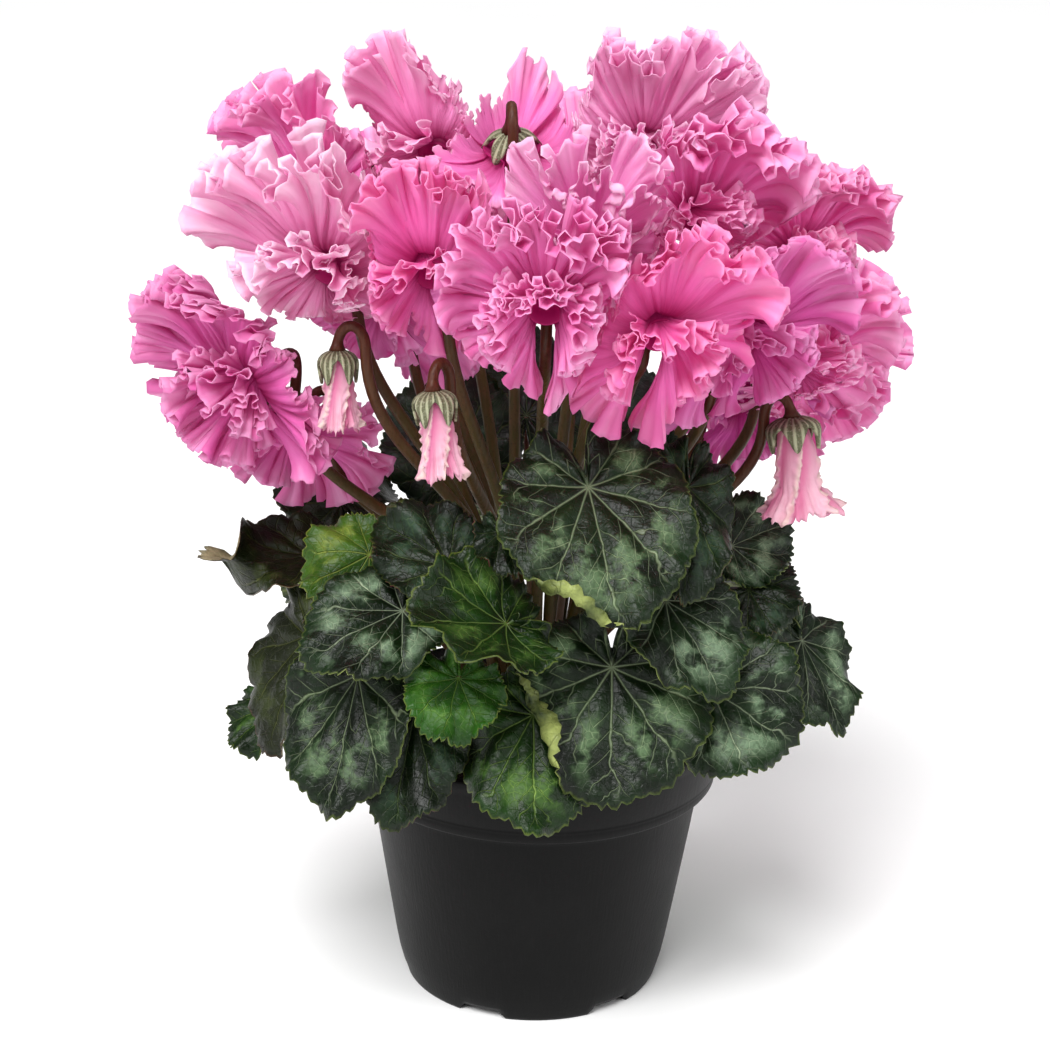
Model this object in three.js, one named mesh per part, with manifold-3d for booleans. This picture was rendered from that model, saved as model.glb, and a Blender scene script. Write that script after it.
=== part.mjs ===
// A potted cyclamen: a black nursery pot filled with peat, the tuber half sunk in it, heart-shaped
// leaves on long stalks, and ruffled pink blooms and buds that nod on hooked stems.
// Millimetres, +Z up. The origin is the centre of the pot's foot, on the ground; +X is to the right
// and -Y towards the viewer of the plant's front.
import * as THREE from "three";
import { mergeVertices } from "three/addons/utils/BufferGeometryUtils.js";
import Module from "manifold-3d";

// Pot
const POT_HEIGHT = 96;
const POT_RIM_RADIUS = 65;
const POT_COLLAR_LOW_RADIUS = 61.5;
const POT_COLLAR_LOW_Z = 74.5;
const POT_BODY_TOP_RADIUS = 56.5;
const POT_BODY_LOW_RADIUS = 46.4;
const POT_HEEL_Z = 9;
const POT_FOOT_RADIUS = 44;
const POT_FOOT_HEIGHT = 3;
const POT_FOOT_WIDTH = 7;
const POT_WALL = 1.6;
const POT_FLOOR = 2;
const POT_LIP_DROP = 1.2;
const POT_SIDES = 24;
const FOOT_GAPS = 6;
const FOOT_GAP_ARC = 0.34;
const FOOT_GAP_TURN = -1.95;
const DRAIN_RADIUS = 4;
const DRAIN_RING = 34.5;
const DRAIN_SIDES = 8;

// Soil and tuber
const SOIL_TOP = 87;
const SOIL_HEAP = 2;
const SOIL_SIDES = POT_SIDES;
const FIT_GAP = 0.35;
const TUBER_RADIUS = 33;
const TUBER_HALF_HEIGHT = 14;
const TUBER_Z = 88;
const TUBER_SIDES = 16;
const TUBER_RINGS = [0.4, 0.7, 0.9, 1];
const CROWN_RECESS_RADIUS = 17.7;
const CROWN_RECESS_Z = 97.4;
const STALK_GROOVES = [
  { radius: 20.4, floor: 95 },
  { radius: 25.6, floor: 92 },
];
const STALK_GROOVE_HALF = 2.1;

// Leaves
const BLADE_THICKNESS = 0.9;
const BLADE_RIM_STEPS = 16;
const BLADE_MIDDLE = 0.55;
const BLADE_TOOTH = 0.03;
const HEEL_LIFT = 0.35;
const RIPPLE_SHARE = 0.6;
const OUTLINE_MEAN = 0.68;
const OUTLINE_FORWARD = 0.26;
const NOTCH_WIDTH = 0.26;
const NOTCH_DEPTH = 0.8;
const TIP_POINT = 0.07;
const TIP_WIDTH = 0.22;
const STALK_RADIUS = 1.5;
const STALK_SIDES = 4;
const STALK_STEPS = 3;
const STALK_STRAIGHT = 5;
const STALK_RISE = 0.42;
const STALK_LEAN = 0.08;
const STALK_BEHIND = 0.2;
const STALK_BACK = 0.12;
const STALK_SPACING = 3.7;
const COVER_GAP = 4;
const COVER_FULL = 1.05;
const COVER_NONE = 1.45;

// Flower stems
const STEM_RADIUS = 1.9;
const STEM_SIDES = 4;
const STEM_RISE_STEPS = 3;
const STEM_HOOK_STEPS = 4;
const STEM_BACKWARD = 0.2;
const STEM_RISE = 0.5;
const STEM_REACH = 0.28;
const TRUNK_RING = 10.9;
const TRUNK_SPREAD = 4.3;
const TRUNK_BASE_RADIUS = 6.2;
const TRUNK_BASE_HEIGHT = 3;
const CALYX_BACK = 6.8;
const CALYX_THICKNESS = 1.6;
const FULL_CALYX_RADIUS = 8;
const SEPAL_TIP_RADIUS = 9;
const SEPAL_VALLEY_RADIUS = 5;
const SEPAL_VALLEY_DROOP = 0.4;
const SEPAL_DROOP = 3.4;
const STEM_STRAIGHT = 6;
const STEM_SLOTS = 6;

// Blooms: eight lobes leave the rim of the throat cup, five broad petals with three short ones
// between them, and a gap is left for the stem. Bearings are in degrees round the mouth.
const THROAT_BACK = 4.2;
const THROAT_FRONT = 3;
const THROAT_BACK_RADIUS = 3.4;
const THROAT_FRONT_RADIUS = 5.6;
const PETAL_THICKNESS = 0.8;
const STEM_GAP_HALF = 24;
const PETAL_ARC = 45;
const PETALOID_ARC = 29;
const LOBES = ["petal", "petaloid", "petal", "petal", "petaloid", "petal", "petaloid", "petal"];
const PETAL_HALF_FAN = 40;
const PETALOID_HALF_FAN = 30;
const PETAL_START_ANGLE = 24;
const PETALOID_START_ANGLE = 8;
const PETALOID_FORWARD = 45;
const PETAL_BEND_LENGTH = 0.45;
const PETAL_ROWS = [2, 4, 7];
const PETALOID_ROWS = [2, 3, 5];
const PETAL_ROW_LENGTHS = [0, 0.5, 1];
const PETALOID_LENGTH = 0.62;
const PETAL_STEPS = 12;
const RUFFLE_WAVES = 3;
const RUFFLE_ANGLE = 0.5;
const CELL_GAP = 1.1;
const CELL_FREE = 0.6;
const CELL_BACK = 6;
const STEM_RANGE = 60;
const CALYX_CLEAR = 2.2;
const STEM_CLEAR = 3.6;
const OWN_STEM_CLEAR = 5.8;
const BUD_SIDES = 6;
const BUD_TWIST = 0.9;
const BUD_SEAT = 1.2;
const BUD_SHOULDER = 3.4;

// Colours
const POT_COLOUR = "#262627";
const SOIL_COLOUR = "#2b211a";
const TUBER_COLOUR = "#5a4636";
const STEM_COLOUR = "#4a2f1f";
const LEAF_COLOUR = "#2f5238";
const YOUNG_LEAF_COLOUR = "#6d8a45";
const BUD_COLOUR = "#f2a9c8";

// Leaves: the blade joins its stalk at `at`, and its midrib points to `tip`; `out` is the way its
// upper face looks. `cup` lifts the sides, `droop` bends the tip down, `wave` ruffles the rim, and
// `under` names the leaves that lie over it. `ring` is the groove of the crown that the stalk is in.
const LEAVES = [
  { name: "leaf_01", at: [14, -65, 196], tip: [25, -102, 166], out: [0.1, -0.8, 0.55], broad: 0.84,
    cup: 0.16, droop: 0.14, wave: 2.4, seed: 3, under: [], ring: 0 },
  { name: "leaf_02", at: [23, -66, 138], tip: [24, -92, 103], out: [0.05, -0.9, 0.35], broad: 1,
    cup: 0.1, droop: 0.06, wave: 3.2, seed: 5, under: ["leaf_01"], ring: 1 },
  { name: "leaf_03", at: [-1, -72, 124], tip: [1, -98, 96], out: [0, -0.9, 0.4], broad: 0.86,
    cup: -0.12, droop: 0.05, wave: 2, seed: 7, under: ["leaf_02", "leaf_04", "leaf_06"], ring: 1 },
  { name: "leaf_04", at: [-10, -80, 157], tip: [-37, -100, 165], out: [-0.1, -0.62, 0.78], broad: 0.95,
    cup: 0.5, droop: -0.05, wave: 2.6, seed: 11, under: [], ring: 0 },
  { name: "leaf_05", at: [-24, -78, 138], tip: [-28, -96, 127], out: [0, -0.7, 0.6], broad: 1,
    cup: 0.1, droop: 0.25, wave: 1, seed: 13, under: ["leaf_04"], ring: 1 },
  { name: "leaf_06", at: [-38, -64, 120], tip: [-44, -84, 90], out: [-0.1, -0.95, 0.25], broad: 0.72,
    cup: 0.25, droop: 0.05, wave: 2, seed: 17, under: ["leaf_05", "leaf_07"], ring: 1 },
  { name: "leaf_07", at: [-56, -60, 131], tip: [-64, -84, 94], out: [-0.35, -0.85, 0.35], broad: 0.7,
    cup: 0.12, droop: 0.05, wave: 2.2, seed: 19, under: ["leaf_08"], ring: 1 },
  { name: "leaf_08", at: [-42, -66, 155], tip: [-70, -84, 149], out: [-0.15, -0.75, 0.62], broad: 0.78,
    cup: 0.08, droop: 0.2, wave: 1.8, seed: 23, under: ["leaf_04"], ring: 0 },
  { name: "leaf_09", at: [-53, -52, 169], tip: [-73, -62, 163], out: [-0.3, -0.62, 0.7], broad: 1.05,
    cup: 0.1, droop: 0.25, wave: 1.8, seed: 29, under: ["leaf_08", "leaf_10"], ring: 0, young: true },
  { name: "leaf_10", at: [-28, -62, 169], tip: [-51, -50, 181], out: [-0.05, -0.75, 0.66], broad: 0.8,
    cup: 0.3, droop: 0.1, wave: 2.4, seed: 31, under: ["leaf_04", "leaf_11"], ring: 0 },
  { name: "leaf_11", at: [-12, -70, 183], tip: [-6, -82, 174], out: [0.1, -0.8, 0.6], broad: 0.8,
    cup: 0.1, droop: 0.1, wave: 1, seed: 37, under: ["leaf_01"], ring: 0 },
  { name: "leaf_12", at: [39, -62, 159], tip: [59, -80, 137], out: [0.42, -0.8, 0.42], broad: 0.78,
    cup: 0.22, droop: 0.1, wave: 2, seed: 41, under: ["leaf_01"], ring: 0 },
  { name: "leaf_13", at: [55, -58, 128], tip: [82, -66, 114], out: [0.35, -0.85, 0.38], broad: 1.1,
    cup: 0.14, droop: 0.1, wave: 2.6, seed: 43, under: ["leaf_12"], ring: 1 },
  { name: "leaf_14", at: [88, -8, 126], tip: [104, -22, 100], out: [0.65, -0.7, 0.3], broad: 0.7,
    cup: 0.1, droop: 0.1, wave: 1.6, seed: 47, under: ["leaf_13"], ring: 1 },
  { name: "leaf_15", at: [62, -20, 163], tip: [82, -14, 171], out: [0.25, -0.75, 0.6], broad: 1,
    cup: 0.2, droop: 0.2, wave: 1.8, seed: 53, under: ["leaf_17", "leaf_12"], ring: 0 },
  { name: "leaf_16", at: [68, -25, 150], tip: [84, -30, 145], out: [0.45, -0.8, 0.4], broad: 1.2,
    cup: 0.1, droop: 0.1, wave: 1.6, seed: 59, under: ["leaf_15", "leaf_12", "leaf_13"], ring: 1 },
  { name: "leaf_17", at: [45, -50, 192], tip: [45, -76, 164], out: [0.3, -0.85, 0.45], broad: 0.55,
    cup: 0.3, droop: 0.08, wave: 1.6, seed: 61, under: ["leaf_01"], ring: 0 },
  { name: "leaf_18", at: [42, -45, 147], tip: [46, -58, 134], out: [0.3, -0.85, 0.35], broad: 0.8,
    cup: 0.1, droop: 0.1, wave: 1, seed: 67, under: ["leaf_01", "leaf_02", "leaf_12", "leaf_13"], ring: 1 },
  { name: "leaf_19", at: [33, -38, 198], tip: [43, -44, 194], out: [0.2, -0.7, 0.65], broad: 1.1,
    cup: 0.15, droop: 0.1, wave: 1, seed: 71, under: ["leaf_01", "leaf_17"], ring: 0 },
  { name: "leaf_20", at: [-76, -8, 152], tip: [-111, -20, 148], out: [-0.1, -0.5, 0.85], broad: 0.6,
    cup: 0.6, droop: -0.3, wave: 1.4, seed: 73, under: ["leaf_09"], ring: 0 },
  { name: "leaf_21", at: [-75, -30, 132], tip: [-89, -44, 97], out: [-0.8, -0.6, 0.2], broad: 0.8,
    cup: 0.05, droop: 0.08, wave: 1.8, seed: 79, under: ["leaf_09", "leaf_08", "leaf_07"], ring: 1 },
  { name: "leaf_22", at: [-88, -8, 98], tip: [-103, -16, 86], out: [-0.4, -0.6, 0.7], broad: 0.9,
    cup: 0.1, droop: 0.1, wave: 1, seed: 83, under: ["leaf_21"], ring: 1, rise: 0.5 },
  { name: "leaf_23", at: [-30, 46, 168], tip: [-38, 66, 200], out: [-0.1, -0.8, 0.6], broad: 0.9,
    cup: 0.12, droop: 0.1, wave: 2.2, seed: 109, under: [], ring: 0 },
  { name: "leaf_24", at: [22, 48, 174], tip: [30, 68, 205], out: [0.1, -0.8, 0.6], broad: 0.9,
    cup: 0.12, droop: 0.1, wave: 2.4, seed: 97, under: [], ring: 0 },
  { name: "leaf_25", at: [-14, 70, 142], tip: [-18, 114, 116], out: [-0.1, 0.8, 0.5], broad: 0.9,
    cup: 0.1, droop: 0.1, wave: 2.4, seed: 101, under: ["leaf_23"], ring: 1 },
  { name: "leaf_26", at: [-56, 46, 142], tip: [-90, 60, 114], out: [-0.6, 0.55, 0.5], broad: 0.9,
    cup: 0.1, droop: 0.1, wave: 2.4, seed: 103, under: [], ring: 1 },
  { name: "leaf_27", at: [66, 34, 128], tip: [98, 50, 106], out: [0.55, 0.5, 0.6], broad: 0.85,
    cup: 0.1, droop: 0.1, wave: 2.2, seed: 107, under: ["leaf_24"], ring: 1 },
  { name: "leaf_28", at: [-6, 54, 184], tip: [-6, 74, 212], out: [0, -0.8, 0.6], broad: 0.85,
    cup: 0.12, droop: 0.1, wave: 2, seed: 113, under: ["leaf_23", "leaf_24"], ring: 0 },
  { name: "leaf_29", at: [-68, 20, 162], tip: [-84, 32, 186], out: [-0.3, -0.75, 0.6], broad: 0.85,
    cup: 0.1, droop: 0.1, wave: 2, seed: 127, under: ["leaf_20", "leaf_23"], ring: 0 },
];

// Blooms: `at` is the middle of the throat, `mouth` the way it opens, `petal` the length of a petal
// and `spread` how far the petals turn back from the mouth, in degrees, one for each petal.
const BLOOMS = [
  { name: "bloom_01", at: [29, 4, 290], mouth: [0.15, -0.75, -0.55], petal: 44, trunk: 2, seed: 11,
    spread: [130, 110, 95, 110, 125], colour: "#ee7fb9" },
  { name: "bloom_02", at: [-36, 14, 284], mouth: [-0.2, -0.75, -0.6], petal: 42, trunk: 3, seed: 12,
    spread: [125, 110, 90, 115, 130], colour: "#ec79b4" },
  { name: "bloom_03", at: [-12, 2, 286], mouth: [0.05, 0.35, -1], petal: 36, trunk: 3, seed: 13,
    stemSide: [0.05, -1, 0], spread: [110, 100, 120, 105, 110], colour: "#ea76b2" },
  { name: "bloom_04", at: [-66, -42, 258], mouth: [-0.4, -0.8, -0.45], petal: 43, trunk: 0, seed: 14,
    spread: [115, 105, 95, 100, 115], colour: "#f3b6d8" },
  { name: "bloom_05", at: [-72, 24, 268], mouth: [-0.5, -0.55, -0.65], petal: 40, trunk: 0, seed: 15,
    spread: [120, 105, 95, 105, 120], colour: "#ee86bf" },
  { name: "bloom_06", at: [-34, -54, 260], mouth: [-0.1, -0.85, -0.5], petal: 38, trunk: 1, seed: 16,
    spread: [110, 100, 105, 100, 110], colour: "#ea5fa6" },
  { name: "bloom_07", at: [0, -82, 257], mouth: [-0.05, -0.95, -0.35], petal: 35, trunk: 1, seed: 17,
    spread: [105, 95, 90, 95, 105], colour: "#ed7bbb", rise: 0.75, reach: 0.14 },
  { name: "bloom_08", at: [12, -52, 270], mouth: [0.05, -0.85, -0.5], petal: 40, trunk: 1, seed: 18,
    spread: [120, 100, 85, 100, 120], colour: "#efa0cd", rise: 0.6, reach: 0.2 },
  { name: "bloom_09", at: [42, -36, 274], mouth: [0.3, -0.8, -0.5], petal: 38, trunk: 2, seed: 19,
    spread: [115, 105, 95, 105, 115], colour: "#ec78b4" },
  { name: "bloom_10", at: [33, -74, 248], mouth: [0.2, -0.92, -0.4], petal: 35, trunk: 1, seed: 20,
    spread: [105, 95, 85, 95, 110], colour: "#e9549e", rise: 0.8, reach: 0.12 },
  { name: "bloom_11", at: [78, 4, 256], mouth: [0.6, -0.65, -0.5], petal: 33, trunk: 2, seed: 21,
    spread: [115, 105, 95, 105, 115], colour: "#ec74b1" },
  { name: "bloom_12", at: [78, -20, 224], mouth: [0.6, -0.7, -0.4], petal: 36, trunk: 2, seed: 22,
    spread: [105, 100, 90, 100, 105], colour: "#ee82b8" },
  { name: "bloom_13", at: [60, -46, 240], mouth: [0.45, -0.85, -0.4], petal: 34, trunk: 2, seed: 23,
    spread: [105, 95, 90, 95, 105], colour: "#d953a3" },
  { name: "bloom_14", at: [-92, -32, 218], mouth: [-0.6, -0.7, -0.4], petal: 38, trunk: 0, seed: 54,
    stemSide: [0.8, -0.25, -0.5], spread: [92, 96, 95, 96, 92], colour: "#ee6fae" },
  { name: "bloom_15", at: [-80, -12, 199], mouth: [-0.35, -0.8, -0.5], petal: 32, trunk: 0, seed: 25,
    spread: [100, 92, 85, 92, 100], colour: "#ea7cba" },
  { name: "bloom_16", at: [-52, -6, 238], mouth: [-0.3, -0.8, -0.5], petal: 36, trunk: 0, seed: 26,
    spread: [105, 100, 95, 100, 105], colour: "#e38fc6" },
  { name: "bloom_17", at: [64, 10, 205], mouth: [0.3, -0.8, -0.5], petal: 34, trunk: 2, seed: 27,
    spread: [100, 95, 90, 95, 100], colour: "#cf4f9f" },
  { name: "bloom_18", at: [12, 62, 258], mouth: [0, 0.7, -0.7], petal: 45, trunk: 4, seed: 28,
    spread: [125, 115, 105, 115, 125], colour: "#ec79b4" },
  { name: "bloom_19", at: [92, 56, 204], mouth: [0.6, 0.45, -0.65], petal: 42, trunk: 4, seed: 59,
    spread: [125, 115, 105, 115, 125], colour: "#ec79b4" },
  { name: "bloom_20", at: [-52, 60, 244], mouth: [-0.45, 0.6, -0.65], petal: 43, trunk: 3, seed: 30,
    spread: [120, 110, 105, 110, 120], colour: "#ec79b4" },
];

const BUDS = [
  { name: "bud_1", at: [-63, -46, 225], mouth: [0.05, -0.15, -1], length: 17, radius: 5.6, trunk: 0, seed: 41,
    stemSide: [0.9, -0.2, 0.1] },
  { name: "bud_2", at: [-32, -71, 220], mouth: [0.12, -0.1, -1], length: 19, radius: 6, trunk: 1, seed: 42,
    stemSide: [0.5, 0.85, 0.1] },
  { name: "bud_3", at: [79, -31, 203], mouth: [0.15, -0.15, -1], length: 24, radius: 8, trunk: 2, seed: 43,
    stemSide: [-0.9, 0.3, 0.1] },
];

const TRUNK_NAMES = [
  "flower_stems_left",
  "flower_stems_front",
  "flower_stems_right",
  "flower_stems_top",
  "flower_stems_back",
];
const TRUNK_AZIMUTHS = [196, 268, 340, 124, 52];
const STEM_SIDE_OFFSET = 13;
const BUD_SIDE_OFFSET = 9;
const HOOK_HEIGHT = 15;
const BUD_HOOK_HEIGHT = 10;

const wasm = await Module();
wasm.setup();

// Small helpers
const vec = (a) => new THREE.Vector3(a[0], a[1], a[2]);
const radians = (degrees) => (degrees * Math.PI) / 180;
const clamp = (x, low, high) => Math.min(high, Math.max(low, x));

function smoothstep(x, low, high) {
  const t = clamp((x - low) / (high - low), 0, 1);
  return t * t * (3 - 2 * t);
}

function seeded(seed) {
  let state = seed * 7919 + 17;
  return () => {
    state = (state * 48271) % 2147483647;
    return state / 2147483647;
  };
}

// Moves bearings on a circle apart, keeping their order, until each has its spacing.
function spaced(bearings, spacing) {
  const order = bearings.map((angle, i) => ({ angle, i })).sort((a, b) => a.angle - b.angle);
  for (let pass = 0; pass < 60; pass += 1) {
    for (let k = 0; k < order.length; k += 1) {
      const next = order[(k + 1) % order.length];
      const turn = k + 1 === order.length ? 2 * Math.PI : 0;
      const short = spacing - (next.angle + turn - order[k].angle);
      if (short > 0) {
        order[k].angle -= short / 2;
        next.angle += short / 2;
      }
    }
  }
  const result = [];
  for (const { angle, i } of order) {
    result[i] = angle;
  }
  return result;
}

function solidOf(geometry) {
  const bare = geometry.index ? geometry.toNonIndexed() : geometry.clone();
  bare.deleteAttribute("normal");
  bare.deleteAttribute("uv");
  const merged = mergeVertices(bare, 1e-3);
  return new wasm.Manifold(
    new wasm.Mesh({
      numProp: 3,
      vertProperties: new Float32Array(merged.attributes.position.array),
      triVerts: new Uint32Array(merged.index.array),
    }),
  );
}

// The largest body of a joined solid: small scraps go, and sealed pockets are filled.
function mainBody(solid) {
  let best = null;
  for (const body of solid.decompose()) {
    if (!best || body.volume() > best.volume()) {
      best = body;
    }
  }
  return best;
}

function geometryOf(solid) {
  const mesh = mainBody(solid).getMesh();
  const geometry = new THREE.BufferGeometry();
  const positions = new Float32Array(mesh.numVert * 3);
  for (let i = 0; i < mesh.numVert; i += 1) {
    for (let k = 0; k < 3; k += 1) {
      positions[3 * i + k] = mesh.vertProperties[i * mesh.numProp + k];
    }
  }
  geometry.setAttribute("position", new THREE.BufferAttribute(positions, 3));
  geometry.setIndex(Array.from(mesh.triVerts));
  geometry.computeVertexNormals();
  return geometry;
}

function unionOf(geometries) {
  let joined = solidOf(geometries[0]);
  for (const geometry of geometries.slice(1)) {
    joined = joined.add(solidOf(geometry));
  }
  return joined;
}

// A thin closed solid on a triangulated middle surface. `rim` lists the outline's points in order,
// with the surface on their left seen from the upper face.
function sheet(points, triangles, rim, thickness) {
  const normals = points.map(() => new THREE.Vector3());
  for (const [a, b, c] of triangles) {
    const ab = points[b].clone().sub(points[a]);
    const ac = points[c].clone().sub(points[a]);
    const cross = ab.cross(ac);
    const size = cross.length();
    if (size > 0) {
      cross.multiplyScalar(1 / Math.sqrt(size));
    }
    for (const i of [a, b, c]) {
      normals[i].add(cross);
    }
  }
  const half = thickness / 2;
  const count = points.length;
  const positions = [];
  for (const side of [1, -1]) {
    points.forEach((point, i) => {
      const shifted = point.clone().addScaledVector(normals[i].clone().normalize(), side * half);
      positions.push(shifted.x, shifted.y, shifted.z);
    });
  }
  const index = [];
  for (const [a, b, c] of triangles) {
    index.push(a, b, c, a + count, c + count, b + count);
  }
  for (let i = 0; i < rim.length; i += 1) {
    const a = rim[i];
    const b = rim[(i + 1) % rim.length];
    index.push(a, a + count, b + count, a, b + count, b);
  }
  const geometry = new THREE.BufferGeometry();
  geometry.setAttribute("position", new THREE.Float32BufferAttribute(positions, 3));
  geometry.setIndex(index);
  return geometry;
}

// A regular section pushed along a path.
function tube(path, radius, sides, steps) {
  const section = new THREE.Shape();
  for (let i = 0; i < sides; i += 1) {
    const angle = (i / sides) * Math.PI * 2;
    const x = Math.cos(angle) * radius;
    const y = Math.sin(angle) * radius;
    if (i === 0) {
      section.moveTo(x, y);
    } else {
      section.lineTo(x, y);
    }
  }
  section.closePath();
  return new THREE.ExtrudeGeometry(section, {
    steps,
    extrudePath: path,
    bevelEnabled: false,
    curveSegments: 1,
  });
}

// A path of cubic pieces that is stepped evenly along each piece, so that a tight hook stays round.
class PiecedPath extends THREE.Curve {
  constructor(pieces) {
    super();
    this.pieces = pieces;
    this.total = pieces.reduce((sum, piece) => sum + piece.steps, 0);
  }

  getUtoTmapping(u) {
    return u;
  }

  getPoint(t, target = new THREE.Vector3()) {
    let left = clamp(t, 0, 1) * this.total;
    for (const piece of this.pieces) {
      if (left <= piece.steps || piece === this.pieces[this.pieces.length - 1]) {
        return target.copy(piece.curve.getPoint(clamp(left / piece.steps, 0, 1)));
      }
      left -= piece.steps;
    }
    return target;
  }
}

// Pot
const lathe = (profile, sides) =>
  new THREE.LatheGeometry(
    profile.map(([r, z]) => new THREE.Vector2(r, z)),
    sides,
  ).rotateX(Math.PI / 2);

function potGeometry() {
  const floorTop = POT_FOOT_HEIGHT + POT_FLOOR;
  const wall = POT_WALL;
  const shell = lathe(
    [
      [0, POT_FOOT_HEIGHT],
      [POT_FOOT_RADIUS - POT_FOOT_WIDTH, POT_FOOT_HEIGHT],
      [POT_FOOT_RADIUS - POT_FOOT_WIDTH, 0],
      [POT_FOOT_RADIUS, 0],
      [POT_BODY_LOW_RADIUS, POT_HEEL_Z],
      [POT_BODY_TOP_RADIUS, POT_COLLAR_LOW_Z - wall],
      [POT_COLLAR_LOW_RADIUS, POT_COLLAR_LOW_Z],
      [POT_RIM_RADIUS, POT_HEIGHT - POT_LIP_DROP],
      [POT_RIM_RADIUS - wall / 2, POT_HEIGHT],
      [POT_RIM_RADIUS - 1.4 * wall, POT_HEIGHT],
      [POT_COLLAR_LOW_RADIUS - wall, POT_COLLAR_LOW_Z + wall],
      [POT_BODY_TOP_RADIUS - wall, POT_COLLAR_LOW_Z],
      [POT_BODY_LOW_RADIUS - wall, POT_HEEL_Z],
      [POT_FOOT_RADIUS - wall, floorTop],
      [0, floorTop],
    ],
    POT_SIDES,
  );
  let pot = solidOf(shell);
  for (let i = 0; i < FOOT_GAPS; i += 1) {
    const turn = FOOT_GAP_TURN + (i * 2 * Math.PI) / FOOT_GAPS;
    const width = 2 * POT_FOOT_RADIUS * Math.sin(FOOT_GAP_ARC / 2);
    const notch = new THREE.BoxGeometry(2 * POT_FOOT_WIDTH, width, 2 * POT_FOOT_HEIGHT);
    notch.translate(POT_FOOT_RADIUS - POT_FOOT_WIDTH / 2, 0, 0);
    notch.rotateZ(turn);
    pot = pot.subtract(solidOf(notch));
    const drain = new THREE.CylinderGeometry(DRAIN_RADIUS, DRAIN_RADIUS, 4 * POT_FLOOR, DRAIN_SIDES);
    drain.rotateX(Math.PI / 2);
    drain.translate(DRAIN_RING, 0, POT_FOOT_HEIGHT + POT_FLOOR / 2);
    drain.rotateZ(turn);
    pot = pot.subtract(solidOf(drain));
  }
  return geometryOf(pot);
}

// Soil: fills the pot up to a little under the rim, with a bowl that the tuber sits in.
function soilGeometry() {
  const wall = POT_WALL + FIT_GAP;
  const bowl = (TUBER_RADIUS + FIT_GAP) / Math.cos(Math.PI / SOIL_SIDES);
  const sink = (SOIL_TOP + SOIL_HEAP - TUBER_Z) / TUBER_HALF_HEIGHT;
  const mouth = bowl * Math.sqrt(1 - sink * sink) + 0.1;
  const profile = [
    [0, POT_FOOT_HEIGHT + POT_FLOOR + FIT_GAP],
    [POT_FOOT_RADIUS - wall, POT_FOOT_HEIGHT + POT_FLOOR + FIT_GAP],
    [POT_BODY_LOW_RADIUS - wall, POT_HEEL_Z],
    [POT_BODY_TOP_RADIUS - wall, POT_COLLAR_LOW_Z + 0.2],
    [POT_COLLAR_LOW_RADIUS - wall - 0.4, POT_COLLAR_LOW_Z + POT_WALL + FIT_GAP + 0.2],
    [POT_COLLAR_LOW_RADIUS - wall + 1.2, SOIL_TOP],
    [mouth, SOIL_TOP + SOIL_HEAP],
  ];
  const depth = TUBER_HALF_HEIGHT + FIT_GAP;
  for (const share of [...TUBER_RINGS].reverse()) {
    profile.push([bowl * share, TUBER_Z - depth * Math.sqrt(1 - share * share)]);
  }
  profile.push([0, TUBER_Z - depth]);
  return geometryOf(solidOf(lathe(profile, SOIL_SIDES)));
}

// Tuber: a flat corky ball with a sunk crown, and two grooves that the leaf stalks stand in.
function tuberGeometry() {
  const half = TUBER_HALF_HEIGHT;
  const heightAt = (r) => half * Math.sqrt(Math.max(0, 1 - (r / TUBER_RADIUS) ** 2));
  const profile = [[0, TUBER_Z - half]];
  for (const share of TUBER_RINGS) {
    profile.push([TUBER_RADIUS * share, TUBER_Z - heightAt(TUBER_RADIUS * share)]);
  }
  for (const groove of [...STALK_GROOVES].reverse()) {
    const outer = groove.radius + STALK_GROOVE_HALF;
    const inner = groove.radius - STALK_GROOVE_HALF;
    profile.push([outer, TUBER_Z + heightAt(outer)]);
    profile.push([outer, groove.floor]);
    profile.push([inner, groove.floor]);
    profile.push([inner, TUBER_Z + heightAt(inner)]);
  }
  profile.push([CROWN_RECESS_RADIUS, TUBER_Z + heightAt(CROWN_RECESS_RADIUS)]);
  profile.push([CROWN_RECESS_RADIUS, CROWN_RECESS_Z]);
  profile.push([0, CROWN_RECESS_Z]);
  return geometryOf(solidOf(lathe(profile, TUBER_SIDES)));
}

// Leaf blades
function leafFrame(leaf) {
  const at = vec(leaf.at);
  const along = vec(leaf.tip).sub(at);
  const length = along.length();
  along.normalize();
  const out = vec(leaf.out);
  out.addScaledVector(along, -out.dot(along)).normalize();
  const across = along.clone().cross(out);
  return { at, along, across, out, length };
}

function outline(theta) {
  const back = Math.PI - Math.abs(theta);
  const notch = NOTCH_DEPTH * Math.exp(-((back / NOTCH_WIDTH) ** 2));
  const point = TIP_POINT * Math.exp(-((theta / TIP_WIDTH) ** 2));
  return (OUTLINE_MEAN + OUTLINE_FORWARD * Math.cos(theta) + point) * (1 - notch);
}

function planPoint(leaf, frame, rho, theta) {
  const reach = rho * outline(theta) * frame.length;
  return [reach * Math.sin(theta) * leaf.broad, reach * Math.cos(theta)];
}

function bladeHeight(leaf, frame, x, y) {
  const theta = Math.atan2(x / leaf.broad, y);
  const rho = Math.hypot(x / leaf.broad, y) / (outline(theta) * frame.length);
  const side = x / frame.length;
  const ahead = Math.max(0, y) / frame.length;
  const behind = Math.max(0, -y) / frame.length;
  const reach = Math.min(rho, 1.1);
  const ripple = Math.sin(5 * theta + leaf.seed) + 0.5 * Math.sin(8 * theta + 2 * leaf.seed);
  const bend = leaf.cup * side * side - leaf.droop * ahead * ahead + HEEL_LIFT * behind * behind;
  return frame.length * bend + leaf.wave * RIPPLE_SHARE * reach * reach * ripple;
}

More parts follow.
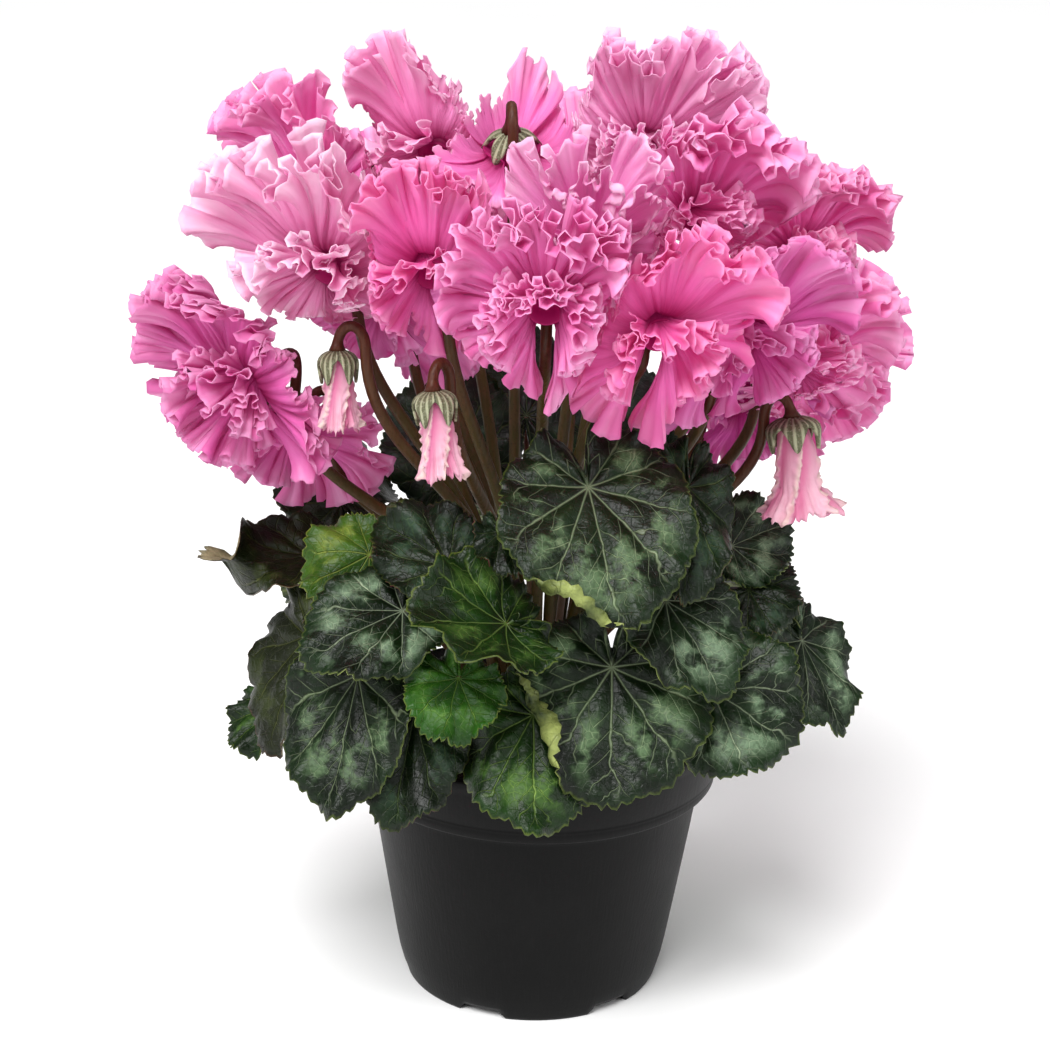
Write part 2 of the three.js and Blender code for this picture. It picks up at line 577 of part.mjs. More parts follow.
function surfacePoint(leaf, frame, x, y) {
  const point = frame.at.clone();
  point.addScaledVector(frame.across, x);
  point.addScaledVector(frame.along, y);
  point.addScaledVector(frame.out, bladeHeight(leaf, frame, x, y));
  return tuckedUnder(leaf, point);
}

// Moves a point of a leaf down where another leaf lies over it.
function tuckedUnder(leaf, point) {
  for (const name of leaf.under) {
    const cover = LEAVES.find((other) => other.name === name);
    const frame = leafFrame(cover);
    const offset = point.clone().sub(frame.at);
    const x = offset.dot(frame.across);
    const y = offset.dot(frame.along);
    const theta = Math.atan2(x / cover.broad, y);
    const rho = Math.hypot(x / cover.broad, y) / (outline(theta) * frame.length);
    const share = 1 - smoothstep(rho, COVER_FULL, COVER_NONE);
    if (share > 0) {
      const above = surfacePoint(cover, frame, x, y).sub(frame.at).dot(frame.out);
      const excess = offset.dot(frame.out) - (above - COVER_GAP);
      if (excess > 0) {
        point.addScaledVector(frame.out, -excess * share);
      }
    }
  }
  return point;
}

function bladeGeometry(leaf) {
  const frame = leafFrame(leaf);
  const rimCount = BLADE_RIM_STEPS;
  const midCount = rimCount / 2;
  const points = [surfacePoint(leaf, frame, 0, 0)];
  for (let j = 0; j < midCount; j += 1) {
    const theta = -Math.PI + (j * 2 * Math.PI) / midCount;
    const [x, y] = planPoint(leaf, frame, BLADE_MIDDLE, theta);
    points.push(surfacePoint(leaf, frame, x, y));
  }
  for (let j = 0; j < rimCount; j += 1) {
    const theta = -Math.PI + (j * 2 * Math.PI) / rimCount;
    const tooth = j % 2 === 0 ? 1 + BLADE_TOOTH : 1 - BLADE_TOOTH;
    const [x, y] = planPoint(leaf, frame, tooth, theta);
    points.push(surfacePoint(leaf, frame, x, y));
  }
  const mid = (j) => 1 + ((j + midCount) % midCount);
  const rim = (j) => 1 + midCount + ((j + rimCount) % rimCount);
  const triangles = [];
  for (let j = 0; j < midCount; j += 1) {
    triangles.push([0, mid(j + 1), mid(j)]);
    triangles.push([mid(j), rim(2 * j + 1), rim(2 * j)]);
    triangles.push([mid(j), mid(j + 1), rim(2 * j + 1)]);
    triangles.push([mid(j + 1), rim(2 * j + 2), rim(2 * j + 1)]);
  }
  const edge = [];
  for (let j = rimCount - 1; j >= 0; j -= 1) {
    edge.push(rim(j));
  }
  return sheet(points, triangles, edge, BLADE_THICKNESS);
}

// Leaf stalks stand in the crown's grooves in the order of their leaves' bearings.
function stalkRoots() {
  const roots = new Map();
  STALK_GROOVES.forEach((groove, ring) => {
    const leaves = LEAVES.filter((leaf) => leaf.ring === ring);
    const bearings = leaves.map((leaf) => Math.atan2(leaf.at[1], leaf.at[0]));
    const angles = spaced(bearings, STALK_SPACING / groove.radius);
    leaves.forEach((leaf, i) => {
      roots.set(leaf.name, { angle: angles[i], radius: groove.radius, z: groove.floor + FIT_GAP });
    });
  });
  return roots;
}

const ROOTS = stalkRoots();

function stalkPath(leaf) {
  const frame = leafFrame(leaf);
  const root = ROOTS.get(leaf.name);
  const away = new THREE.Vector3(Math.cos(root.angle), Math.sin(root.angle), 0);
  const start = away.clone().multiplyScalar(root.radius).setZ(root.z);
  const end = surfacePoint(leaf, frame, 0, 0);
  const span = end.distanceTo(start);
  const first = start.clone().addScaledVector(away, span * STALK_LEAN);
  first.z += span * (leaf.rise ?? STALK_RISE);
  const second = end.clone().addScaledVector(frame.out, -span * STALK_BEHIND);
  second.addScaledVector(frame.along, -span * STALK_BACK);
  const stem = start.clone();
  stem.z += STALK_STRAIGHT;
  return new PiecedPath([
    { curve: new THREE.LineCurve3(start, stem), steps: 1 },
    { curve: new THREE.CubicBezierCurve3(stem, first, second, end), steps: STALK_STEPS },
  ]);
}

function leafGeometry(leaf) {
  const stalk = tube(stalkPath(leaf), STALK_RADIUS, STALK_SIDES, STALK_STEPS + 1);
  return geometryOf(unionOf([bladeGeometry(leaf), stalk]));
}

// Flower heads: blooms and buds hang from a stem that rises beside them and hooks over.
function headFrame(head) {
  const at = vec(head.at);
  const mouth = vec(head.mouth).normalize();
  const inward = head.stemSide ? vec(head.stemSide) : vec([0, 0, CROWN_RECESS_Z]).sub(at);
  const side = inward.addScaledVector(mouth, -inward.dot(mouth)).normalize();
  const across = mouth.clone().cross(side);
  return { at, mouth, side, across };
}

// Stems of one growing point start side by side on its base, each on the side that it leans to.
function stemRoots() {
  const roots = new Map();
  TRUNK_AZIMUTHS.forEach((degrees, trunk) => {
    const x = Math.cos(radians(degrees)) * TRUNK_RING;
    const y = Math.sin(radians(degrees)) * TRUNK_RING;
    const heads = [...BLOOMS, ...BUDS].filter((head) => head.trunk === trunk);
    const bearings = heads.map((head) => Math.atan2(head.at[1] - y, head.at[0] - x));
    const angles = spaced(bearings, (2 * Math.PI) / Math.max(STEM_SLOTS, heads.length));
    heads.forEach((head, i) => {
      const root = new THREE.Vector3(x, y, CROWN_RECESS_Z + FIT_GAP);
      root.x += Math.cos(angles[i]) * TRUNK_SPREAD;
      root.y += Math.sin(angles[i]) * TRUNK_SPREAD;
      roots.set(head.name, root);
    });
  });
  return roots;
}

const STEM_ROOTS = stemRoots();

function stemPieces(head) {
  const frame = headFrame(head);
  const bud = head.length !== undefined;
  const offset = bud ? BUD_SIDE_OFFSET : STEM_SIDE_OFFSET;
  const hook = bud ? BUD_HOOK_HEIGHT : HOOK_HEIGHT;
  const root = STEM_ROOTS.get(head.name);
  const beside = frame.at.clone().addScaledVector(frame.side, offset);
  beside.addScaledVector(frame.mouth, -CALYX_BACK);
  const end = frame.at.clone().addScaledVector(frame.mouth, -CALYX_BACK);
  const span = beside.distanceTo(root);
  const low = root.clone();
  low.z += STEM_STRAIGHT;
  const first = low.clone();
  first.z += span * (head.rise ?? STEM_RISE);
  const rising = frame.mouth.clone().multiplyScalar(-STEM_BACKWARD);
  rising.z += 1;
  rising.normalize();
  const second = beside.clone().addScaledVector(rising, -span * (head.reach ?? STEM_REACH));
  const over = beside.clone().addScaledVector(rising, hook);
  const back = end.clone().addScaledVector(frame.mouth, -hook);
  return [
    { curve: new THREE.LineCurve3(root, low), steps: 1 },
    { curve: new THREE.CubicBezierCurve3(low, first, second, beside), steps: STEM_RISE_STEPS },
    { curve: new THREE.CubicBezierCurve3(beside, over, back, end), steps: STEM_HOOK_STEPS },
  ];
}

function calyxGeometry(head) {
  const frame = headFrame(head);
  const scale = head.length !== undefined ? head.radius / FULL_CALYX_RADIUS : 1;
  const middle = frame.at.clone().addScaledVector(frame.mouth, -CALYX_BACK);
  const points = [middle];
  for (let i = 0; i < 10; i += 1) {
    const angle = (i * Math.PI) / 5 + Math.PI / 5;
    const tip = i % 2 === 1;
    const radius = (tip ? SEPAL_TIP_RADIUS : SEPAL_VALLEY_RADIUS) * scale;
    const drop = tip ? SEPAL_DROOP : SEPAL_VALLEY_DROOP;
    const point = middle.clone();
    point.addScaledVector(frame.side, Math.cos(angle) * radius);
    point.addScaledVector(frame.across, Math.sin(angle) * radius);
    point.addScaledVector(frame.mouth, drop * scale);
    points.push(point);
  }
  const triangles = [];
  const rim = [];
  for (let i = 0; i < 10; i += 1) {
    triangles.push([0, 1 + ((i + 1) % 10), 1 + i]);
    rim.push(10 - i);
  }
  return sheet(points, triangles, rim, CALYX_THICKNESS);
}

function trunkGeometry(trunk) {
  const heads = [...BLOOMS, ...BUDS].filter((head) => head.trunk === trunk);
  const solids = [];
  heads.forEach((head) => {
    const path = new PiecedPath(stemPieces(head));
    solids.push(tube(path, STEM_RADIUS, STEM_SIDES, path.total));
    solids.push(calyxGeometry(head));
  });
  const azimuth = radians(TRUNK_AZIMUTHS[trunk]);
  const base = new THREE.CylinderGeometry(TRUNK_BASE_RADIUS, TRUNK_BASE_RADIUS, TRUNK_BASE_HEIGHT, 8);
  base.rotateX(Math.PI / 2);
  base.translate(
    Math.cos(azimuth) * TRUNK_RING,
    Math.sin(azimuth) * TRUNK_RING,
    CROWN_RECESS_Z + FIT_GAP + TRUNK_BASE_HEIGHT / 2,
  );
  return geometryOf(unionOf([base, ...solids]));
}

// Half-spaces that keep each bloom clear of its neighbours and of the stems that pass it.
const headCentre = (head) => vec(head.at).addScaledVector(vec(head.mouth).normalize(), -CELL_BACK);

function stemSamples() {
  const samples = [];
  for (const head of [...BLOOMS, ...BUDS]) {
    const path = new PiecedPath(stemPieces(head));
    for (let i = 0; i <= 60; i += 1) {
      samples.push({ owner: head.name, point: path.getPoint(i / 60) });
    }
  }
  return samples;
}

const STEM_SAMPLES = stemSamples();

function cellPlanes(bloom) {
  const centre = headCentre(bloom);
  const planes = [];
  for (const other of [...BLOOMS, ...BUDS]) {
    if (other === bloom) {
      continue;
    }
    const normal = headCentre(other).sub(centre);
    const distance = normal.length();
    const size = other.petal ?? other.length * 0.9;
    const share = bloom.petal / (bloom.petal + size);
    planes.push({ normal: normal.normalize(), reach: distance * share - CELL_GAP });
  }
  const nearest = new Map();
  for (const { owner, point } of STEM_SAMPLES) {
    if (owner !== bloom.name) {
      const gap = point.distanceTo(centre);
      if (!nearest.has(owner) || gap < nearest.get(owner).gap) {
        nearest.set(owner, { gap, point });
      }
    }
  }
  for (const { gap, point } of nearest.values()) {
    if (gap < STEM_RANGE) {
      planes.push({ normal: point.clone().sub(centre).normalize(), reach: gap - STEM_CLEAR });
    }
  }
  return { centre, planes };
}

function keptInCell(cell, point) {
  const offset = point.clone().sub(cell.centre);
  const distance = offset.length();
  if (distance < 1e-6) {
    return point;
  }
  let limit = Infinity;
  for (const { normal, reach } of cell.planes) {
    const facing = offset.dot(normal) / distance;
    if (facing > 0.02) {
      limit = Math.min(limit, reach / facing);
    }
  }
  const free = CELL_FREE * limit;
  if (distance > free) {
    const room = limit - free;
    const kept = free + room * (1 - Math.exp(-(distance - free) / room));
    offset.multiplyScalar(kept / distance);
  }
  return cell.centre.clone().add(offset);
}

// Keeps a petal off its own bloom's stem, on the petal's own side of it, and off the calyx.
function clearOfStem(frame, petal, point) {
  const offset = point.clone().sub(frame.at);
  const sign = Math.sin(petal.azimuth) < 0 ? -1 : 1;
  let q = offset.dot(frame.side);
  let t = offset.dot(frame.across) * sign;
  const w = offset.dot(frame.mouth);
  const near = smoothstep(q, 3, 8);
  const short = t / OWN_STEM_CLEAR - 2;
  if (short < 0) {
    t += (OWN_STEM_CLEAR * (1 + Math.exp(short)) - t) * near;
  }
  t *= sign;
  const radius = Math.hypot(q, t);
  const behind = smoothstep(-w, -2, 3);
  const least = SEPAL_TIP_RADIUS + CALYX_CLEAR;
  if (radius > 0.1 && radius < least) {
    const grow = 1 + (least / radius - 1) * behind;
    q *= grow;
    t *= grow;
  }
  const moved = frame.at.clone().addScaledVector(frame.side, q);
  return moved.addScaledVector(frame.across, t).addScaledVector(frame.mouth, w);
}

// A petal is a fan whose rays leave the throat, bend back from the mouth and ripple more and more.
function petalPoint(frame, petal, u, v) {
  const away = frame.side.clone().multiplyScalar(Math.cos(petal.azimuth));
  away.addScaledVector(frame.across, Math.sin(petal.azimuth));
  const lateral = frame.mouth.clone().cross(away);
  const fan = petal.fan * v;
  const turned = petal.halfArc * v;
  const point = frame.at.clone().addScaledVector(frame.mouth, THROAT_FRONT);
  point.addScaledVector(away, THROAT_FRONT_RADIUS * Math.cos(turned));
  point.addScaledVector(lateral, THROAT_FRONT_RADIUS * Math.sin(turned));
  const steps = Math.round(PETAL_STEPS * u);
  const reach = (petal.length / PETAL_STEPS) * (1 - 0.1 * v * v);
  for (let i = 0; i < steps; i += 1) {
    const t = (i + 0.5) / PETAL_STEPS;
    const bent = 1 - (1 - Math.min(1, t / PETAL_BEND_LENGTH)) ** 2;
    const turn = petal.start + (petal.spread - petal.start) * bent;
    const ahead = frame.mouth.clone().multiplyScalar(Math.cos(turn));
    ahead.addScaledVector(away, Math.sin(turn));
    const normal = frame.mouth.clone().multiplyScalar(-Math.sin(turn));
    normal.addScaledVector(away, Math.cos(turn));
    const ripple = Math.sin(RUFFLE_WAVES * Math.PI * (v + 1) + petal.phase);
    const tilt = RUFFLE_ANGLE * t ** 1.3 * ripple + petal.twist * v * t + petal.arch * v * v * t;
    const ray = ahead.multiplyScalar(Math.cos(fan)).addScaledVector(lateral, Math.sin(fan));
    point.addScaledVector(ray, reach * Math.cos(tilt));
    point.addScaledVector(normal, reach * Math.sin(tilt));
  }
  return point;
}

function lobesOf(bloom) {
  const random = seeded(bloom.seed);
  const lobes = [];
  let bearing = STEM_GAP_HALF;
  let main = 0;
  for (const kind of LOBES) {
    const broad = kind === "petal";
    const arc = broad ? PETAL_ARC : PETALOID_ARC;
    const spread = broad ? bloom.spread[main] : bloom.spread[main] - PETALOID_FORWARD;
    lobes.push({
      azimuth: radians(bearing + arc / 2),
      halfArc: radians(arc / 2),
      spread: radians(spread + 12 * (random() - 0.5)),
      start: radians(broad ? PETAL_START_ANGLE : PETALOID_START_ANGLE),
      fan: radians(broad ? PETAL_HALF_FAN : PETALOID_HALF_FAN),
      length: bloom.petal * (broad ? 1 : PETALOID_LENGTH) * (0.94 + 0.12 * random()),
      phase: Math.PI / 2,
      twist: 0.25 + 0.15 * random(),
      arch: -0.2 + 0.3 * random(),
      rows: broad ? PETAL_ROWS : PETALOID_ROWS,
    });
    bearing += arc;
    main += broad && main < bloom.spread.length - 1 ? 1 : 0;
  }
  return lobes;
}

// Triangles between two rows of points, each spread evenly over the same width.
function between(rowA, rowB) {
  const triangles = [];
  const lastA = rowA.length - 1;
  const lastB = rowB.length - 1;
  let a = 0;
  let b = 0;
  while (a < lastA || b < lastB) {
    const nextA = a < lastA ? (a + 1) / lastA : 2;
    const nextB = b < lastB ? (b + 1) / lastB : 2;
    if (nextB <= nextA) {
      triangles.push([rowA[a], rowB[b], rowB[b + 1]]);
      b += 1;
    } else {
      triangles.push([rowA[a], rowB[b], rowA[a + 1]]);
      a += 1;
    }
  }
  return triangles;
}

// The whole corolla is one sheet: the closed back of the throat, its cup, and the lobes.
function bloomGeometry(bloom) {
  const frame = headFrame(bloom);
  const cell = cellPlanes(bloom);
  const lobes = lobesOf(bloom);
  const points = [];
  const add = (point) => points.push(point) - 1;
  const ringPoint = (azimuth, radius, along) => {
    const point = frame.at.clone().addScaledVector(frame.mouth, along);
    point.addScaledVector(frame.side, Math.cos(azimuth) * radius);
    return point.addScaledVector(frame.across, Math.sin(azimuth) * radius);
  };
  const bearings = lobes.map((lobe) => lobe.azimuth - lobe.halfArc);
  bearings.push(lobes[lobes.length - 1].azimuth + lobes[lobes.length - 1].halfArc);
  const back = bearings.map((angle) => add(ringPoint(angle, THROAT_BACK_RADIUS, -THROAT_BACK)));
  const front = bearings.map((angle) => add(ringPoint(angle, THROAT_FRONT_RADIUS, THROAT_FRONT)));
  const triangles = [];
  for (let i = 1; i + 1 < back.length; i += 1) {
    triangles.push([back[0], back[i], back[i + 1]]);
  }
  for (let i = 0; i < back.length; i += 1) {
    const j = (i + 1) % back.length;
    triangles.push([back[i], front[i], front[j]], [back[i], front[j], back[j]]);
  }
  const rim = [];
  lobes.forEach((lobe, k) => {
    const rows = [[front[k], front[k + 1]]];
    for (let i = 1; i < lobe.rows.length; i += 1) {
      const row = [];
      for (let j = 0; j < lobe.rows[i]; j += 1) {
        const v = -1 + (2 * j) / (lobe.rows[i] - 1);
        const raw = petalPoint(frame, lobe, PETAL_ROW_LENGTHS[i], v);
        row.push(add(keptInCell(cell, clearOfStem(frame, lobe, raw))));
      }
      triangles.push(...between(rows[i - 1], row));
      rows.push(row);
    }
    rim.push(front[k]);
    for (let i = 1; i + 1 < rows.length; i += 1) {
      rim.push(rows[i][0]);
    }
    rim.push(...rows[rows.length - 1]);
    for (let i = rows.length - 2; i > 0; i -= 1) {
      rim.push(rows[i][rows[i].length - 1]);
    }
  });
  rim.push(front[lobes.length]);
  return geometryOf(solidOf(sheet(points, triangles, rim, PETAL_THICKNESS)));
}

// Buds: furled petals, twisted round each other into a blunt spindle.
function budGeometry(bud) {
  const frame = headFrame(bud);
  const profile = [
    [0, BUD_SEAT - CALYX_BACK],
    [0.62, BUD_SHOULDER - CALYX_BACK],
    [0.9, 0.25 * bud.length],
    [1, 0.55 * bud.length],
    [0.72, 0.85 * bud.length],
    [0, bud.length],
  ];
  const body = new THREE.LatheGeometry(
    profile.map(([share, along]) => new THREE.Vector2(share * bud.radius, along)),
    BUD_SIDES,
  );
  const position = body.getAttribute("position");
  for (let i = 0; i < position.count; i += 1) {
    const x = position.getX(i);
    const z = position.getZ(i);
    const turn = (position.getY(i) / bud.length) * BUD_TWIST;
    position.setX(i, x * Math.cos(turn) - z * Math.sin(turn));
    position.setZ(i, x * Math.sin(turn) + z * Math.cos(turn));
  }
  const basis = new THREE.Matrix4().makeBasis(frame.across, frame.mouth, frame.side);
  if (basis.determinant() < 0) {
    basis.makeBasis(frame.side, frame.mouth, frame.across);
  }
  body.applyMatrix4(basis.setPosition(frame.at));
  return geometryOf(solidOf(body));
}

const plant = new THREE.Group();
plant.name = "potted_cyclamen";

function addMesh(name, geometry, colour, roughness) {
  const material = new THREE.MeshStandardMaterial({ color: colour, roughness, metalness: 0 });
  const mesh = new THREE.Mesh(geometry, material);
  mesh.name = name;
  plant.add(mesh);
}

addMesh("pot", potGeometry(), POT_COLOUR, 0.5);
addMesh("soil", soilGeometry(), SOIL_COLOUR, 0.95);
addMesh("tuber", tuberGeometry(), TUBER_COLOUR, 0.85);
TRUNK_NAMES.forEach((name, trunk) => {
  addMesh(name, trunkGeometry(trunk), STEM_COLOUR, 0.5);
});
for (const leaf of LEAVES) {
  addMesh(leaf.name, leafGeometry(leaf), leaf.young ? YOUNG_LEAF_COLOUR : LEAF_COLOUR, 0.5);
}
for (const bloom of BLOOMS) {
  addMesh(bloom.name, bloomGeometry(bloom), bloom.colour, 0.6);
}
for (const bud of BUDS) {
  addMesh(bud.name, budGeometry(bud), BUD_COLOUR, 0.6);
}

export default plant;
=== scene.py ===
"""A potted cyclamen in flower: a black nursery pot of peat, a corky tuber, toothed and marbled
leaves on long stalks, and ruffled pink blooms and buds nodding on hooked stems.

Shapes are worked out in millimetres, with Z up and -Y towards the viewer, and become metres
when they turn into meshes. Places and directions of the leaves, blooms and stems are those of
the solids, and sizes are close to theirs.
"""

import logging
import math
from dataclasses import KW_ONLY, dataclass, field
from enum import Enum
from typing import ClassVar, Sequence

import bpy
import numpy as np
from mathutils import Matrix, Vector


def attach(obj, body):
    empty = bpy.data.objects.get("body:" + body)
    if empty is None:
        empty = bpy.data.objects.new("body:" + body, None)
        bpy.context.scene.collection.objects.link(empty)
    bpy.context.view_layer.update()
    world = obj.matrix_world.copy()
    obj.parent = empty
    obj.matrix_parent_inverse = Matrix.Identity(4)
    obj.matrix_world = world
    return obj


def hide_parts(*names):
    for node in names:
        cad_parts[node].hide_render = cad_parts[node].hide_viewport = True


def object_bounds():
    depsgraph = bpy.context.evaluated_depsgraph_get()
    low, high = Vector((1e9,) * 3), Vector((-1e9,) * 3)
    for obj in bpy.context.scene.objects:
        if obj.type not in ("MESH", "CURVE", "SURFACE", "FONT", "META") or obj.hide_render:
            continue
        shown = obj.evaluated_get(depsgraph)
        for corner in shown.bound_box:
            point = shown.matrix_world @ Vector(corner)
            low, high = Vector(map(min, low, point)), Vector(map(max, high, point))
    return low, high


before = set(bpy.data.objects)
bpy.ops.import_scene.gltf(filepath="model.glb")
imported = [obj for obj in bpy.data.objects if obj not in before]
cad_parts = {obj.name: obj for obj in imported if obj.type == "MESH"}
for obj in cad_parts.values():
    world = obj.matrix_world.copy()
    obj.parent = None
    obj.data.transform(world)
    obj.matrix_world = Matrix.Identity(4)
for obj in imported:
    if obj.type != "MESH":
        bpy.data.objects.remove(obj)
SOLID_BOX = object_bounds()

Pair = tuple[float, float]
Triple = tuple[float, float, float]
Array = np.ndarray
Socket = bpy.types.NodeSocket
Material = bpy.types.Material
Paint = Socket | str
Links = dict[int | str, object]

LOG = logging.getLogger("cyclamen")
MM = 0.001
TINY = 1e-9
SIDEWAYS = (0.3, 1.0, 0.1)

# Camera, fitted to the photograph
IMAGE_SIDE = 1050
FOCAL_PIXELS = 2400.0
SENSOR_MM = 36.0
CAMERA_PITCH = math.radians(19.4)
CAMERA_ROLL = math.radians(1.4)
CAMERA_DISTANCE = 802.0
CAMERA_AIM_Z = 150.0
CENTRE_SHIFT = (15.0, 34.0)

# Pot
POT_FLOOR = 2.0
FOOT_HEIGHT = 3.0
FOOT_GAPS = 6
FOOT_GAP_ARC = 0.34
FOOT_GAP_TURN = -1.95

# Soil and tuber
SOIL_TOP = 87.0
SOIL_HEAP = 2.0
FIT_GAP = 0.35
TUBER_RADIUS = 33.0
TUBER_HALF_HEIGHT = 14.0
TUBER_Z = 88.0
CROWN_RECESS_RADIUS = 17.7
CROWN_RECESS_Z = 97.4
GROOVE_RADII = (20.4, 25.6)
GROOVE_FLOORS = (95.0, 92.0)
GROOVE_HALF = 2.1

# Leaves
BLADE_THICKNESS = 0.8
OUTLINE_MEAN = 0.68
OUTLINE_HALF = 0.7
OUTLINE_FORWARD = 0.26
NOTCH_WIDTH = 0.17
NOTCH_DEPTH = 0.8
TIP_POINT = 0.07
TIP_WIDTH = 0.22
HEEL_LIFT = 0.35
RIPPLE_SHARE = 0.6
STALK_RADIUS = 1.35
STALK_TAPER = 0.8
STALK_STRAIGHT = 5.0
STALK_RISE = 0.42
STALK_LEAN = 0.08
STALK_BEHIND = 0.2
STALK_BACK = 0.12
STALK_SPACING = 3.7
COVER_GAP = 4.0
COVER_FULL = 1.05
COVER_NONE = 1.45
VEIN_STEP = 0.58

# Flower stems and calyxes
STEM_RADIUS = 1.9
STEM_BACKWARD = 0.2
STEM_RISE = 0.5
STEM_REACH = 0.28
STEM_STRAIGHT = 6.0
STEM_SLOTS = 6
TRUNK_RING = 10.9
TRUNK_SPREAD = 4.3
TRUNK_BASE_RADIUS = 6.0
TRUNK_BASE_STEPS = ((0.9, 0), (1, 0.8), (0.95, 2), (0.6, 3))
TRUNK_AZIMUTHS = (196, 268, 340, 124, 52)
TRUNK_NAMES = ("left", "front", "right", "top", "back")
STEM_SIDE_OFFSET = 13.0
BUD_SIDE_OFFSET = 9.0
HOOK_HEIGHT = 15.0
BUD_HOOK_HEIGHT = 10.0
BUD_ROOM = 0.9
CALYX_BACK = 6.8
CALYX_THICKNESS = 1.1
FULL_CALYX_RADIUS = 8.0
SEPAL_TIP_RADIUS = 9.0
SEPAL_VALLEY_RADIUS = 3.6

# Blooms
THROAT_BACK = 4.2
THROAT_FRONT = 3.0
THROAT_BACK_RADIUS = 3.4
THROAT_FRONT_RADIUS = 5.6
PETAL_THICKNESS = 0.5
STEM_GAP_HALF = 24.0
PETAL_BEND_LENGTH = 0.45
LACY_FROM = 1.25
CELL_GAP = 0.8
CELL_FREE = 0.68
CELL_BACK = 6.0
CELL_LEAST_FACING = 0.02
CELL_FARTHEST = 1e4
STEM_RANGE = 60.0
STEM_CLEAR = 3.2
OWN_STEM_CLEAR = 2.7
CALYX_CLEAR = 1.6


@dataclass(frozen=True)
class LeafPaint:
    """The colours of one kind of leaf, and how strong its marbling and veins are."""

    dark: str
    mid: str
    silver: str
    vein: str
    rim: str
    under: str
    marbling: float
    veining: float


class Tone(Enum):
    """Kinds of leaf colouring."""

    MARBLED = LeafPaint("#050d03", "#0f2409", "#5b7450", "#a0b289", "#505e26", "#98a35c", 0.75, 0.75)
    SILVER = LeafPaint("#060f04", "#11280b", "#70886a", "#aebe9c", "#55632a", "#98a35c", 0.82, 0.8)
    FRESH = LeafPaint("#081703", "#173608", "#4c6d2c", "#88a650", "#606e28", "#4f5a2c", 0.65, 0.7)
    GRASS = LeafPaint("#102b07", "#234f0c", "#4c7828", "#7ea046", "#6c782a", "#4f5a2c", 0.4, 0.65)
    DEEP = LeafPaint("#050b03", "#0d1f08", "#34503a", "#607342", "#404a1c", "#7d3346", 0.5, 0.65)
    OLIVE = LeafPaint("#0d1103", "#1c2507", "#394319", "#5c632e", "#4b2f1a", "#a09474", 0.4, 0.6)
    YOUNG = LeafPaint("#1a3507", "#375710", "#6e7e2c", "#98a54a", "#808434", "#5c6530", 0.6, 0.8)


@dataclass(frozen=True)
class LobeShape:
    """A kind of lobe: its angles in degrees, and its length beside a broad petal's."""

    arc: float
    start: float
    half_fan: float
    length: float


class Lobe(Enum):
    """Kinds of petal round a throat: broad ones, and short ones that stand forward."""

    BROAD = LobeShape(45.0, 24.0, 53.36, 1.0)
    SHORT = LobeShape(29.0, 8.0, 40.0, 0.66)


LOBES = (Lobe.BROAD, Lobe.SHORT, Lobe.BROAD, Lobe.BROAD, Lobe.SHORT, Lobe.BROAD, Lobe.SHORT, Lobe.BROAD)


@dataclass(frozen=True)
class LeafSpec:
    """Where a leaf's blade lies and how it is shaped.

    The blade runs from at, where its stalk meets it, towards tip, and its upper face looks out.
    It is broad times as wide as a plain one. Its sides rise by cup, its tip hangs by droop, and its
    slow waves are wave high. The leaves named in under lie over it. Its stalk grows from the
    groove numbered ring and leaves the crown with rise. An edge is folded over at the bearing and
    the place in fold, and roll turns the tip round its middle vein, in radians.
    """

    name: str
    at: Triple
    tip: Triple
    out: Triple
    broad: float
    cup: float
    droop: float
    wave: float
    seed: int
    under: tuple[str, ...]
    ring: int
    tone: Tone
    rise: float = STALK_RISE
    fold: Pair | None = None
    roll: float = 0.0


@dataclass(frozen=True)
class HeadSpec:
    """A flower head: the middle of its throat, the way it opens, and how its stem comes to it.

    The stem rises from the growing point numbered trunk, comes up on stem_side, side_offset from
    the head, and bends over in a hook. Without a stem_side it comes from the crown's side.
    """

    name: str
    at: Triple
    mouth: Triple
    trunk: int
    seed: int
    _: KW_ONLY
    stem_side: Triple | None = None
    rise: float = STEM_RISE
    reach: float = STEM_REACH
    side_offset: ClassVar[float] = STEM_SIDE_OFFSET
    hook_height: ClassVar[float] = HOOK_HEIGHT
    calyx_scale: ClassVar[float] = 1.0


@dataclass(frozen=True)
class BloomSpec(HeadSpec):
    """An open bloom: petal length, how far each broad petal bends back in degrees, and colours."""

    petal: float
    spread: tuple[float, ...]
    body: str
    rim: str
    frill: float
    seen: bool = True

    @property
    def room(self) -> float:
        """Returns how much room the bloom needs between its neighbours."""
        return self.petal

    @property
    def lacy(self) -> bool:
        """Returns whether the petals are crimped all over, and not only at their rims."""
        return self.frill > LACY_FROM


@dataclass(frozen=True)
class BudSpec(HeadSpec):
    """A closed bud: its length and greatest radius."""

    length: float
    radius: float
    side_offset: ClassVar[float] = BUD_SIDE_OFFSET
    hook_height: ClassVar[float] = BUD_HOOK_HEIGHT

    @property
    def room(self) -> float:
        """Returns how much room the bud needs between its neighbours."""
        return self.length * BUD_ROOM

    @property
    def calyx_scale(self) -> float:
        """Returns the size of its calyx beside a full one."""
        return self.radius / FULL_CALYX_RADIUS


Head = BloomSpec | BudSpec

